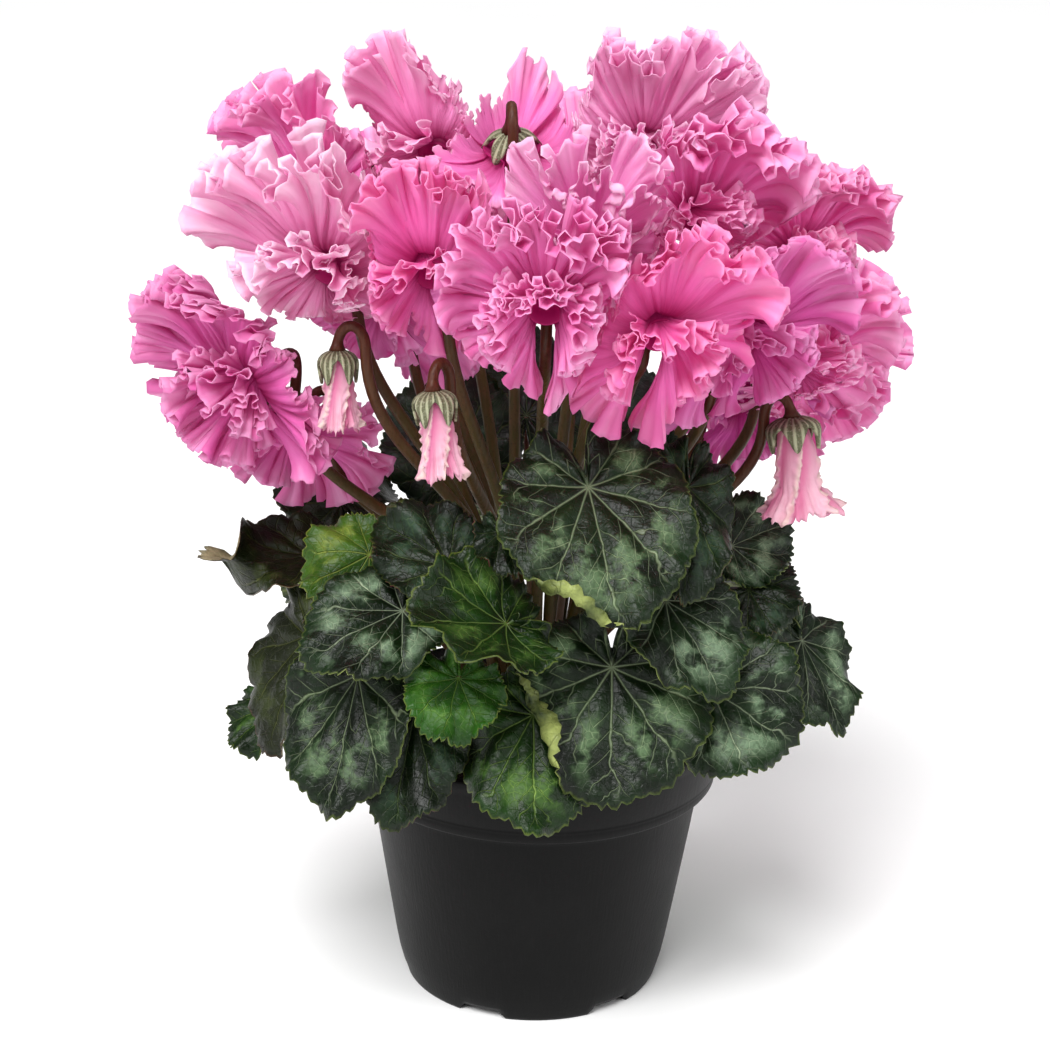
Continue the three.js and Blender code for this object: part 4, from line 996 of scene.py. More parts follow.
@dataclass(frozen=True)
class LeafSkin:
    """A leaf blade: silver flecks between forked veins on dark green, and a plain underside."""

    tone: Tone
    vein_half: float = 0.015
    fork_half: float = 0.009
    fork_reach: float = 0.17
    forks: float = 7.0
    fork_slant: float = 1.25
    silver_zone: Pair = (0.46, 0.95)
    silver_fade: Pair = (0.18, 0.23)

    def veins(self, x: Number, y: Number, reach: Number, bend: Number) -> tuple[Number, Number, Number]:
        """Returns where the veins run.

        Args:
            x: places across the blade, in blade lengths.
            y: places along it.
            reach: places from the stalk to the rim, from 0 to 1.
            bend: noise round zero that bends the veins.

        Returns:
            The main veins, their forks, and how far aside of a main vein a point lies.
        """
        radius = (x * x + y * y).maths("SQRT")
        turn = (x.maths("ARCTAN2", y) + bend * reach * 0.4) / VEIN_STEP
        aside = (turn - turn.maths("ROUND")).maths("ABSOLUTE") * VEIN_STEP * radius
        main = aside.step(self.vein_half, 0.002) * reach.step(1.0, 0.7)
        ladder = (radius - aside * self.fork_slant + bend * 0.12) * self.forks
        off = (ladder - ladder.maths("ROUND")).maths("ABSOLUTE") / self.forks
        near = aside.step(self.fork_reach, 0.09) * reach.step(0.22, 0.4)
        return main, off.step(self.fork_half, 0.001) * near, aside

    def material(self) -> Material:
        """Makes both faces of the blade.

        Returns:
            The material.
        """
        paint = self.tone.value
        graph = Graph(f"leaf_{self.tone.name.lower()}")
        x, y, reach = graph.parts("plan")
        upper, _, _ = graph.parts("face")
        px, py, pz = graph.place()
        bend = graph.noise(110.0) - 0.5
        cloud = graph.noise(75.0, detail=4.0, rough=0.6)
        blotch = graph.noise(90.0, detail=5.0, rough=0.7, at=graph.vector(py, pz, px))
        fine = graph.noise(800.0, detail=3.0, rough=0.6)
        net = graph.cells(300.0).step(0.06, 0.0)
        main, fork, aside = self.veins(x, y, reach, bend)
        inner, outer = self.silver_zone
        rise, fall = self.silver_fade
        uneven = (blotch - 0.5) * 0.35 + (cloud - 0.5) * 0.3
        silver = (reach + aside * 1.1 + (blotch - 0.5) * 0.3).step(inner, inner + rise)
        silver = silver * (reach + uneven).step(outer, outer - fall)
        silver = silver * (cloud + blotch * 0.4 + aside * 0.6).step(0.72, 0.88)
        patch = silver * (0.6 + 0.4 * fine.step(0.35, 0.6))
        vein = main.maths("MAXIMUM", fork * 0.7) * (0.45 + 0.55 * silver)
        vein = vein.maths("MAXIMUM", net * silver * 0.3) * reach.step(1.0, 0.9)
        ground = cloud.step(0.3, 0.7)
        colour = graph.mix(ground, paint.dark, paint.mid)
        colour = graph.mix(reach.step(0.4, 0.05) * 0.6, colour, paint.dark)
        colour = graph.mix(patch * paint.marbling, colour, paint.silver)
        colour = graph.mix(vein * paint.veining, colour, paint.vein)
        rim = (reach + (fine - 0.5) * 0.03).step(0.975, 1.0)
        colour = graph.mix(rim * 0.6, colour, paint.rim)
        back = graph.mix(main * 0.5, graph.mix(ground, paint.under, paint.mid), paint.vein)
        height = main * -0.3 + fork * -0.2 + net * -0.05 + fine * 0.15 + cloud
        return graph.finished(
            Base_Color=graph.mix(upper.step(0.4, 0.6), back, colour),
            Roughness=fine * 0.15 + 0.3 + patch * 0.15,
            Specular_IOR_Level=0.25,
            Normal=graph.bump(height, 0.0014),
        )


@dataclass(frozen=True)
class PetalSkin:
    """A ruffled petal: magenta in the throat, partly its own colour and partly painted shade; painted shade
    in the ruffles' troughs and painted light on their crests; a pale frilled rim and a painted glow.
    """

    name: str
    body: str
    rim: str
    # Magenta of the petal's base: partly the flower's own eye colour, partly painted shade deep in the
    # throat.
    throat: str = "#a5155f"
    vein: str = "#b52476"
    # Painted shade in the troughs of the ruffles.
    groove: str = "#cc3d8c"
    # Painted glow: a deep pink emission that lifts the petals' shade, standing in for light through them.
    painted_glow: str = "#d0187c"
    painted_glow_strength: float = 0.095
    glow: float = 0.28

    def material(self) -> Material:
        """Makes the petals' skin.

        Returns:
            The material.
        """
        graph = Graph(f"{self.name}_skin")
        along, across, crease = graph.parts("petal")
        _, _, z = graph.place()
        cloud = graph.noise(60.0, detail=3.0)
        lengthwise = graph.vector(across * 16.0, along * 1.6, z * 12.0)
        streak = graph.noise(1.0, detail=3.0, rough=0.6, at=lengthwise)
        hair = graph.noise(1.0, at=graph.vector(across * 55.0, along * 2.2, z * 20.0))
        fine = graph.noise(1500.0)
        # Magenta at the base: the eye's own colour, and painted shade deep in the throat.
        colour = graph.mix((along + (streak - 0.5) * 0.35).step(0.0, 0.5), self.throat, self.body)
        # Paler towards the rim, which is the petal's own colouring, and a little paler on the ruffles'
        # crests, which is painted light.
        pale = (along + (cloud - 0.5) * 0.5 + (streak - 0.5) * 0.5 + crease * 0.12).step(0.42, 1.1)
        colour = graph.mix(pale * 0.85, colour, self.rim)
        lines = hair.step(0.52, 0.68) * (1.0 - along.step(0.35, 0.95))
        colour = graph.mix(lines * 0.2, colour, self.vein)
        # Painted shade: deeper pink in the troughs of the ruffles.
        colour = graph.mix((crease * -1.0).step(0.05, 0.9) * 0.3, colour, self.groove)
        height = streak * 1.2 + hair * 0.5 + fine * 0.1
        return graph.finished(
            Base_Color=colour,
            Roughness=0.55,
            Normal=graph.bump(height, 0.0004, 0.8),
            Specular_IOR_Level=0.25,
            # Painted glow: the petals give off a little pink light of their own.
            Emission_Color=graph.mix(0.65, colour, self.painted_glow),
            Emission_Strength=self.painted_glow_strength,
            glow=self.glow,
            shine=self.body,
        )


@dataclass(frozen=True)
class BudSkin:
    """Furled petals: pale pink with deeper folds and cream edges, painted shade inside the hollow tip, and a
    painted pink glow.
    """

    low: str = "#dc9ab4"
    high: str = "#efc3d2"
    fold: str = "#cf5690"
    edge: str = "#f0e6d2"
    # Painted shade inside the hollow at the tip.
    inside: str = "#8f2a5a"
    blush: str = "#c25786"
    # Painted glow: a deep pink emission that lifts the bud's shade, standing in for light through it.
    painted_glow: str = "#d0187c"
    painted_glow_strength: float = 0.1
    glow: float = 0.3
    shine: str = "#eab6c8"

    def material(self) -> Material:
        """Makes the furled petals' skin.

        Returns:
            The material.
        """
        graph = Graph("bud_skin")
        along, turn, deep = graph.parts("furl")
        cloud = graph.noise(160.0, detail=3.0)
        fine = graph.noise(1300.0)
        colour = graph.mix(along.step(0.1, 0.9), self.low, self.high)
        colour = graph.mix(turn.step(0.2, -0.8) * 0.7, colour, self.fold)
        colour = graph.mix(turn.step(0.45, 0.95) * 0.7, colour, self.edge)
        # Painted shade: dark magenta inside the hollow at the tip.
        colour = graph.mix(deep * 0.7, colour, self.inside)
        colour = graph.mix(cloud.step(0.5, 0.75) * 0.35, colour, self.blush)
        return graph.finished(
            Base_Color=colour,
            Roughness=0.5,
            Normal=graph.bump(fine * 0.3 + cloud, 0.0005),
            # Painted glow: the bud gives off a little pink light of its own.
            Emission_Color=graph.mix(0.5, colour, self.painted_glow),
            Emission_Strength=self.painted_glow_strength,
            glow=self.glow,
            shine=self.shine,
        )


@dataclass(frozen=True)
class Axes:
    """A place with three directions: for a blade along, across and out of it."""

    at: Array
    along: Array
    across: Array
    out: Array
    length: float = 1.0

    def circled(self, radius: Array, turn: Array) -> Array:
        """Returns offsets at a radius and a bearing round the axis along."""
        sideways = np.cos(turn)[..., None] * self.out + np.sin(turn)[..., None] * self.across
        return radius[..., None] * sideways


def leaf_axes(leaf: LeafSpec) -> Axes:
    """Finds how a leaf's blade lies.

    Args:
        leaf: the leaf.

    Returns:
        Its place and directions.
    """
    at = vector(leaf.at)
    along = vector(leaf.tip) - at
    length = float(np.linalg.norm(along))
    along = along / length
    out = vector(leaf.out)
    out = unit(out - along * out.dot(along))
    return Axes(at, along, np.cross(along, out), out, length)


def blade_outline(theta: Array) -> Array:
    """Draws the outline of a blade, notched at the stalk.

    Args:
        theta: bearings round the stalk, 0 towards the tip.

    Returns:
        How far the rim lies from the stalk, in blade lengths.
    """
    back = math.pi - np.abs(theta)
    notch = NOTCH_DEPTH * np.exp(-((back / NOTCH_WIDTH) ** 2))
    point = TIP_POINT * np.exp(-((theta / TIP_WIDTH) ** 2))
    return (OUTLINE_MEAN + OUTLINE_FORWARD * np.cos(theta) + point) * (1 - notch)


@dataclass(frozen=True)
class Mesh:
    """How finely a petal is divided: its rows, its columns and the rows with half as many."""

    rows: int
    columns: int
    quarter_rows: int
    half_rows: int


def graded_faces(mesh: Mesh, wrapped: bool = False) -> tuple[Array, Array]:
    """Returns the faces of a sheet that is divided more finely towards its rim.

    Args:
        mesh: the sheet's rows and columns.
        wrapped: whether its last column joins its first.

    Returns:
        The faces, where a triangle repeats a corner, and the outline's points.
    """
    wide = mesh.columns if wrapped else mesh.columns + 1
    strides = [4] * mesh.quarter_rows + [2] * mesh.half_rows
    strides += [1] * (mesh.rows - len(strides))
    faces = []
    for row, (near, far) in enumerate(zip(strides, strides[1:])):
        low, high = row * wide, (row + 1) * wide
        for column in range(0, mesh.columns, near):
            after = (column + near) % wide
            left, right, top_left, top_right = low + column, low + after, high + column, high + after
            if near == far:
                faces.append([left, right, top_right, top_left])
                continue
            middle = high + column + far
            faces.append([left, right, middle, left])
            faces.append([left, middle, top_left, left])
            faces.append([right, top_right, middle, right])
    last = (mesh.rows - 1) * wide
    if wrapped:
        return np.array(faces), np.arange(last, last + wide)
    sides = np.arange(1, mesh.rows) * wide
    rim = [*range(0, wide, strides[0]), *(sides + mesh.columns).tolist()]
    rim += [*range(last + wide - 2, last - 1, -1), *sides[-2::-1].tolist()]
    return np.array(faces), np.array(rim)


def hub_faces(columns: int, stride: int = 1) -> Array:
    """Returns the triangles between point 0 and the ring of points that starts at point 1."""
    here = np.arange(0, columns, stride)
    return np.stack([0 * here, (here + stride) % columns + 1, here + 1, 0 * here], 1)


def thin_solid(points: Array, faces: Array, rim: Array, thickness: Array, name: str, data: Array) -> Solid:
    """Makes a thin closed solid from the points that its faces use.

    Args:
        points: the points of the middle surface, with unused ones among them.
        faces: the faces between them.
        rim: the outline's points.
        thickness: the thickness at each point.
        name: the name of the values that the points carry.
        data: those values, one row for each point.

    Returns:
        The solid.
    """
    kept = np.unique(faces)
    number = np.zeros(len(points), int)
    number[kept] = np.arange(len(kept))
    solid = thickened(points[kept], number[faces], number[rim], thickness[kept])
    return solid.with_value(name, np.concatenate([data[kept], data[kept]]))


Folded = tuple[Array, Array, Array]


@dataclass
class Foliage:
    """All the leaves: blades in their places, and stalks from the crown's grooves."""

    leaves: tuple[LeafSpec, ...] = LEAVES
    mesh: Mesh = Mesh(11, 176, 0, 8)
    ring_bias: float = 0.85
    rim_thinning: float = 0.45
    teeth: int = 58
    tooth_depth: float = 0.8
    tooth_lean: float = 0.35
    fold_lift: float = 2.4
    fold_back: float = 1.9
    fold_bend: float = 1.2
    fold_slope: float = 0.25
    roll_zone: Pair = (0.42, 0.78)
    pucker_height: float = 1.5
    pucker_width: float = 2.4
    vein_depth: float = 0.2
    vein_width: float = 1.0
    wave_height: float = 2.3
    crimp_height: float = 0.6
    stalk_sides: int = 8
    stalk_steps: int = 22

    def __post_init__(self) -> None:
        """Finds the blades' places, and the stalks' in the crown."""
        self.by_name = {leaf.name: leaf for leaf in self.leaves}
        self.axes = {leaf.name: leaf_axes(leaf) for leaf in self.leaves}
        self.roots: dict[str, Array] = {}
        for ring, (radius, floor) in enumerate(zip(GROOVE_RADII, GROOVE_FLOORS)):
            group = [leaf for leaf in self.leaves if leaf.ring == ring]
            bearings = [math.atan2(leaf.at[1], leaf.at[0]) for leaf in group]
            for leaf, angle in zip(group, spaced(bearings, STALK_SPACING / radius)):
                place = (radius * math.cos(angle), radius * math.sin(angle), floor + FIT_GAP)
                self.roots[leaf.name] = vector(place)
        self.skins = {tone: LeafSkin(tone).material() for tone in Tone}
        self.stalk_skin = StemSkin("stalk_skin", low="#4a3a20", high="#4c261c").material()

    def polar(self, leaf: LeafSpec, x: Array, y: Array) -> tuple[Array, Array]:
        """Returns the bearings of places on a blade, and how far out they are, 1 at the rim."""
        theta = np.arctan2(x / leaf.broad, y)
        return theta, np.hypot(x / leaf.broad, y) / (blade_outline(theta) * self.axes[leaf.name].length)

    def height(self, leaf: LeafSpec, x: Array, y: Array) -> Array:
        """Gives a blade its cup, its droop and its slow waves.

        Args:
            leaf: the leaf.
            x: places across the blade.
            y: places along it.

        Returns:
            How far the surface lies out of the blade's plane.
        """
        length = self.axes[leaf.name].length
        theta, rho = self.polar(leaf, x, y)
        side = x / length
        ahead = np.maximum(0, y) / length
        behind = np.maximum(0, -y) / length
        reach = np.minimum(rho, 1.1)
        ripple = wavy(theta, (1, 5, leaf.seed), (0.5, 8, 2 * leaf.seed))
        bend = leaf.cup * side**2 - leaf.droop * ahead**2 + HEEL_LIFT * behind**2
        return length * bend + leaf.wave * RIPPLE_SHARE * reach**2 * ripple

    def surface(self, leaf: LeafSpec, x: Array, y: Array, raised: Array | float = 0.0) -> Array:
        """Finds points of a blade, pushed down where other leaves lie over it.

        Args:
            leaf: the leaf.
            x: places across the blade.
            y: places along it.
            raised: how far to lift each point out of the surface.

        Returns:
            The points.
        """
        axes = self.axes[leaf.name]
        out = (self.height(leaf, x, y) + raised)[:, None] * axes.out
        points = axes.at + x[:, None] * axes.across + y[:, None] * axes.along + out
        for name in leaf.under:
            cover, over = self.by_name[name], self.axes[name]
            offset = points - over.at
            cx, cy = offset @ over.across, offset @ over.along
            _, rho = self.polar(cover, cx, cy)
            share = 1 - smoothstep(rho, COVER_FULL, COVER_NONE)
            above = (self.surface(cover, cx, cy) - over.at) @ over.out
            excess = np.maximum(0, offset @ over.out - (above - COVER_GAP))
            points = points - (excess * share)[:, None] * over.out
        return points

    def blade(self, leaf: LeafSpec) -> Solid:
        """Makes a toothed blade with sunken veins and a finely crimped rim.

        Args:
            leaf: the leaf.

        Returns:
            The blade.
        """
        length = self.axes[leaf.name].length
        rings, columns = self.mesh.rows, self.mesh.columns
        theta = np.linspace(-math.pi, math.pi, columns, endpoint=False)
        share = np.linspace(0, 1, rings + 1)[1:] ** self.ring_bias
        rho, turn = np.meshgrid(share, theta, indexing="ij")
        random = SeededNumbers(leaf.seed)
        swing, slant = random.draw(0, 6), random.draw(0, 6)
        saw = (turn * self.teeth / (2 * math.pi) + 0.5 * np.sin(3 * turn + swing)) % 1
        tooth = np.abs(saw - self.tooth_lean) * (1 + 0.4 * np.sin(11 * turn + slant))
        lobing = wavy(turn, (0.02, 9, swing), (0.012, 14, slant))
        reach = rho * (1 + (lobing - self.tooth_depth / length * (tooth * 4 - 1)) * rho**8)
        plan = reach * blade_outline(turn) * length
        x = (plan * np.sin(turn) * leaf.broad).ravel()
        y = (plan * np.cos(turn)).ravel()
        raised = self.relief(length, rho, turn, swing, slant).ravel()
        rho = rho.ravel()
        points = self.surface(leaf, *self.turned_over(leaf, x, y, raised))
        middle = self.surface(leaf, np.zeros(1), np.zeros(1))
        points = np.concatenate([middle, points])
        faces, rim = graded_faces(self.mesh, wrapped=True)
        faces = np.concatenate([hub_faces(columns, 4 if self.mesh.quarter_rows else 2), faces + 1])
        thickness = np.concatenate([[BLADE_THICKNESS], BLADE_THICKNESS * (1 - self.rim_thinning * rho**4)])
        flat = np.stack([x / length / leaf.broad, y / length, rho], 1)
        flat = np.concatenate([[[0, 0, 0]], flat])
        return thin_solid(points, faces, rim[::-1] + 1, thickness, "plan", flat)

    def turned_over(self, leaf: LeafSpec, x: Array, y: Array, raised: Array) -> Folded:
        """Rolls a blade's tip, or folds its edge over.

        Args:
            leaf: the leaf.
            x: places across the blade.
            y: places along it.
            raised: how far each point stands out of the surface.

        Returns:
            The moved places across and along, and heights.
        """
        length = self.axes[leaf.name].length
        if leaf.roll:
            turn = leaf.roll * smoothstep(y / length, *self.roll_zone)
            x, raised = x * np.cos(turn), raised + x * np.sin(turn)
        if leaf.fold is None:
            return x, y, raised
        bearing, line = leaf.fold
        side, ahead = math.sin(bearing), math.cos(bearing)
        beyond = np.maximum(0, x * side + y * ahead - line * length)
        lift = self.fold_lift * (1 - np.exp(-beyond / self.fold_bend)) + self.fold_slope * beyond
        back = self.fold_back * beyond
        return x - back * side, y - back * ahead, raised + lift

    def relief(self, length: float, rho: Array, turn: Array, swing: float, slant: float) -> Array:
        """Gives a blade puckers between sunken veins, and a wavy rim.

        Args:
            length: the blade's length.
            rho: places from the stalk to the rim, from 0 to 1.
            turn: bearings round the stalk.
            swing: a random turn.
            slant: another.

        Returns:
            How far each point stands out of the surface.
        """
        nearest = np.abs(turn / VEIN_STEP - np.round(turn / VEIN_STEP)) * VEIN_STEP
        aside = nearest * rho * length * OUTLINE_HALF
        pucker = 1 - np.exp(-((aside / self.pucker_width) ** 2))
        pucker = pucker * smoothstep(rho, 0.05, 0.35) * (1 - rho**4)
        pucker = pucker * (1 + 0.35 * np.sin(15 * rho + 7 * turn + slant))
        vein = np.exp(-((aside / self.vein_width) ** 2)) * smoothstep(rho, 0.02, 0.2) * (1 - rho**3)
        wave = rho**4 * wavy(turn, (1, 7, slant + 0.8 * np.sin(2 * turn)), (0.5, 12, swing))
        crimp = rho**6 * wavy(turn, (1, 21, swing), (0.6, 34, 2 * swing))
        fine = self.pucker_height * pucker - self.vein_depth * vein
        return fine + self.wave_height * wave + self.crimp_height * crimp

    def stalk(self, leaf: LeafSpec) -> Solid:
        """Makes the round stalk from the crown to the blade.

        Args:
            leaf: the leaf.

        Returns:
            The stalk.
        """
        axes = self.axes[leaf.name]
        start = self.roots[leaf.name]
        away = unit([start[0], start[1], 0])
        end = self.surface(leaf, np.zeros(1), np.zeros(1))[0]
        span = float(np.linalg.norm(end - start))
        first = start + away * span * STALK_LEAN + vector([0, 0, span * leaf.rise])
        second = end - axes.out * span * STALK_BEHIND - axes.along * span * STALK_BACK
        low = start + vector([0, 0, STALK_STRAIGHT])
        path = np.concatenate([[start], [low], cubic([low, first, second, end], self.stalk_steps)])
        radius = np.linspace(STALK_RADIUS, STALK_RADIUS * STALK_TAPER, len(path))
        return tube(path, radius, self.stalk_sides)

    def build(self) -> None:
        """Makes every leaf as one piece: its blade and its stalk."""
        for leaf in self.leaves:
            solid = joined([self.blade(leaf).painted(0), self.stalk(leaf).painted(1)])
            show(solid, leaf.name, [self.skins[leaf.tone], self.stalk_skin])


def head_axes(head: HeadSpec) -> Axes:
    """Finds how a flower head hangs.

    Args:
        head: the head.

    Returns:
        Its place; along is its mouth's way and out is the side of its stem.
    """
    at = vector(head.at)
    mouth = unit(head.mouth)
    inward = vector(head.stem_side) if head.stem_side else vector([0, 0, CROWN_RECESS_Z]) - at
    side = unit(inward - mouth * inward.dot(mouth))
    return Axes(at, mouth, np.cross(mouth, side), side)


@dataclass
class FlowerStems:
    """The stems, in groups that share a growing point, with their hooks and calyxes."""

    heads: tuple[Head, ...] = BLOOMS + BUDS
    sides: int = 10
    rise_steps: int = 26
    hook_steps: int = 16
    foot_width: float = 1.08
    narrowing: float = 0.22
    flare_from: float = 0.965
    flare_gain: float = 1.1
    base_sides: int = 24
    sepals: int = 5
    sepal_points: int = 60
    sepal_rings: int = 7
    sepal_droop: float = 7.0
    sepal_point: float = 1.6
    sepal_spread: float = 2.5
    sepal_taper: float = 0.15
    sepal_ridge: float = 0.4
    bud_cover: float = 10.0
    bud_clear: float = 0.9
    bud_swell: float = 1.5
    bud_taper: float = 0.16
    bud_droop: float = 1.7

    def __post_init__(self) -> None:
        """Finds the stems' places on their growing points."""
        self.roots: dict[str, Array] = {}
        for trunk, degrees in enumerate(TRUNK_AZIMUTHS):
            turn = math.radians(degrees)
            x, y = math.cos(turn) * TRUNK_RING, math.sin(turn) * TRUNK_RING
            group = [head for head in self.heads if head.trunk == trunk]
            bearings = [math.atan2(head.at[1] - y, head.at[0] - x) for head in group]
            spacing = 2 * math.pi / max(STEM_SLOTS, len(group))
            for head, angle in zip(group, spaced(bearings, spacing)):
                place = [x + math.cos(angle) * TRUNK_SPREAD, y + math.sin(angle) * TRUNK_SPREAD, 0]
                place[2] = CROWN_RECESS_Z + FIT_GAP
                self.roots[head.name] = vector(place)
        self.paths = {head.name: self.path(head) for head in self.heads}

    def path(self, head: HeadSpec) -> Array:
        """Leads a stem from the crown over its hook to the calyx.

        Args:
            head: the head that it carries.

        Returns:
            The points of the stem.
        """
        axes = head_axes(head)
        root = self.roots[head.name]
        end = axes.at - axes.along * CALYX_BACK
        beside = end + axes.out * head.side_offset
        span = float(np.linalg.norm(beside - root))
        low = root + vector([0, 0, STEM_STRAIGHT])
        first = low + vector([0, 0, span * head.rise])
        rising = unit(vector([0, 0, 1]) - axes.along * STEM_BACKWARD)
        second = beside - rising * span * head.reach
        over = beside + rising * head.hook_height
        back = end - axes.along * head.hook_height
        rise = cubic([low, first, second, beside], self.rise_steps)
        bend = cubic([beside, over, back, end], self.hook_steps)
        return np.concatenate([[root], [low], rise, bend])

    def stem(self, head: Head) -> Solid:
        """Makes a round stem that widens into its calyx.

        Args:
            head: the head that it carries.

        Returns:
            The stem.
        """
        path = self.paths[head.name]
        share = np.linspace(0, 1, len(path))
        wider = 1 + self.flare_gain * (head.calyx_scale - 1)
        flare = 1 + wider * smoothstep(share, self.flare_from, 1.0)
        radius = STEM_RADIUS * (self.foot_width - self.narrowing * share) * flare
        return tube(path, radius, self.sides)

    def calyx(self, head: Head) -> Solid:
        """Makes five pointed sepals in one thin star that droops round the throat.

        Args:
            head: the head.

        Returns:
            The calyx.
        """
        axes = head_axes(head)
        scale = head.calyx_scale
        turn = np.linspace(0, 2 * math.pi, self.sepal_points, endpoint=False)
        wedge = (turn / (2 * math.pi) * self.sepals) % 1
        point = 1 - np.abs(wedge * 2 - 1)
        rise = np.sin(point * math.pi / 2) ** self.sepal_point
        edge = SEPAL_VALLEY_RADIUS + (SEPAL_TIP_RADIUS - SEPAL_VALLEY_RADIUS) * rise
        share = np.linspace(0, 1, self.sepal_rings + 1)[1:]
        reach, angle = np.meshgrid(share, turn, indexing="ij")
        length = reach * edge / SEPAL_TIP_RADIUS
        if isinstance(head, BudSpec):
            swell = 1 - (1 - np.minimum(1, length * self.bud_swell)) ** 2
            radius = (head.radius + self.bud_clear) * swell * (1 - self.bud_taper * length**2)
            drop = self.bud_cover * length**self.bud_droop
        else:
            radius = (SEPAL_TIP_RADIUS + self.sepal_spread) * length * (1 - self.sepal_taper * length)
            drop = self.sepal_droop * length**2
        drop = drop - self.sepal_ridge * scale * np.cos(math.pi * (2 * point - 1)) * reach
        middle = axes.at - axes.along * CALYX_BACK
        points = middle + axes.circled(radius, angle) + drop[..., None] * axes.along
        points = np.concatenate([[middle], points.reshape(-1, 3)])
        faces = ring_faces(self.sepal_rings, self.sepal_points) + 1
        faces = np.concatenate([hub_faces(self.sepal_points), faces])
        rim = len(points) - 1 - np.arange(self.sepal_points)
        solid = thickened(points, faces, rim, CALYX_THICKNESS * scale)
        data = np.stack([wedge[None] + 0 * reach, reach, 0 * reach], -1).reshape(-1, 3)
        data = np.concatenate([[[0, 0, 0]], data])
        return solid.with_value("sepal", np.concatenate([data, data]))

    def base(self, trunk: int) -> Solid:
        """Makes the low swollen growing point that a group of stems rises from.

        Args:
            trunk: the number of the group.

        Returns:
            The growing point.
        """
        turn = math.radians(TRUNK_AZIMUTHS[trunk])
        top = CROWN_RECESS_Z + FIT_GAP
        profile = [(TRUNK_BASE_RADIUS * share, top + rise) for share, rise in TRUNK_BASE_STEPS]
        rings = revolved(profile, self.base_sides)
        rings[..., 0] += math.cos(turn) * TRUNK_RING
        rings[..., 1] += math.sin(turn) * TRUNK_RING
        solid = turned_shell(rings)
        return solid.with_value("along", np.zeros_like(solid.points))

    def build(self) -> None:
        """Makes each growing point's stems and calyxes as one piece."""
        skins = [StemSkin("stem_skin").material(), CalyxSkin().material()]
        for trunk, name in enumerate(TRUNK_NAMES):
            group = [head for head in self.heads if head.trunk == trunk]
            solids = [self.base(trunk).painted(0)]
            solids += [self.stem(head).painted(0) for head in group]
            solids += [self.calyx(head).painted(1) for head in group]
            show(joined(solids), f"flower_stems_{name}", skins)


@dataclass(frozen=True)
class Cell:
    """The room of one bloom: planes that keep it clear of its neighbours."""

    centre: Array
    normals: Array
    reaches: Array

    def kept(self, points: Array) -> Array:
        """Draws points in towards the centre, so that all lie in the room.

        Args:
            points: the points.

        Returns:
            The moved points.
        """
        offset = points - self.centre
        distance = np.linalg.norm(offset, axis=-1) + TINY
        facing = (offset / distance[..., None]) @ self.normals.T
        away = self.reaches / np.maximum(facing, CELL_LEAST_FACING)
        limit = np.where(facing > CELL_LEAST_FACING, away, CELL_FARTHEST).min(-1)
        free = CELL_FREE * limit
        room = limit - free
        eased = free + room * (1 - np.exp(-np.maximum(0, distance - free) / room))
        scale = np.where(distance > free, eased / distance, 1.0)
        return self.centre + offset * scale[..., None]


@dataclass(frozen=True)
class Petal:
    """One lobe of a corolla, with its angles in radians.

    It takes half_arc to each side of its azimuth round the mouth, fans out by fan to each side,
    and bends back from start at the throat to spread at its tip. Its swings shift its waves.
    """

    azimuth: float
    half_arc: float
    spread: float
    start: float
    fan: float
    length: float
    twist: float
    arch: float
    broad: bool
    swings: tuple[float, ...]

    @classmethod
    def drawn(cls, degrees: tuple[float, ...], shape: Triple, broad: bool, random: SeededNumbers) -> "Petal":
        """Returns a petal from its angles in degrees, its length, twist and arch, and random swings."""
        swings = tuple(random.draw(0, 2 * math.pi) for _ in range(5))
        return cls(*map(math.radians, degrees), *shape, broad, swings)


@dataclass(frozen=True)
class Ruffle:
    """Waves along a petal's rim: how many, how deep, how late they start, and how round."""

    waves: float
    depth: float
    onset: float
    roundness: float = 0.6


Waved = tuple[Array, Array]


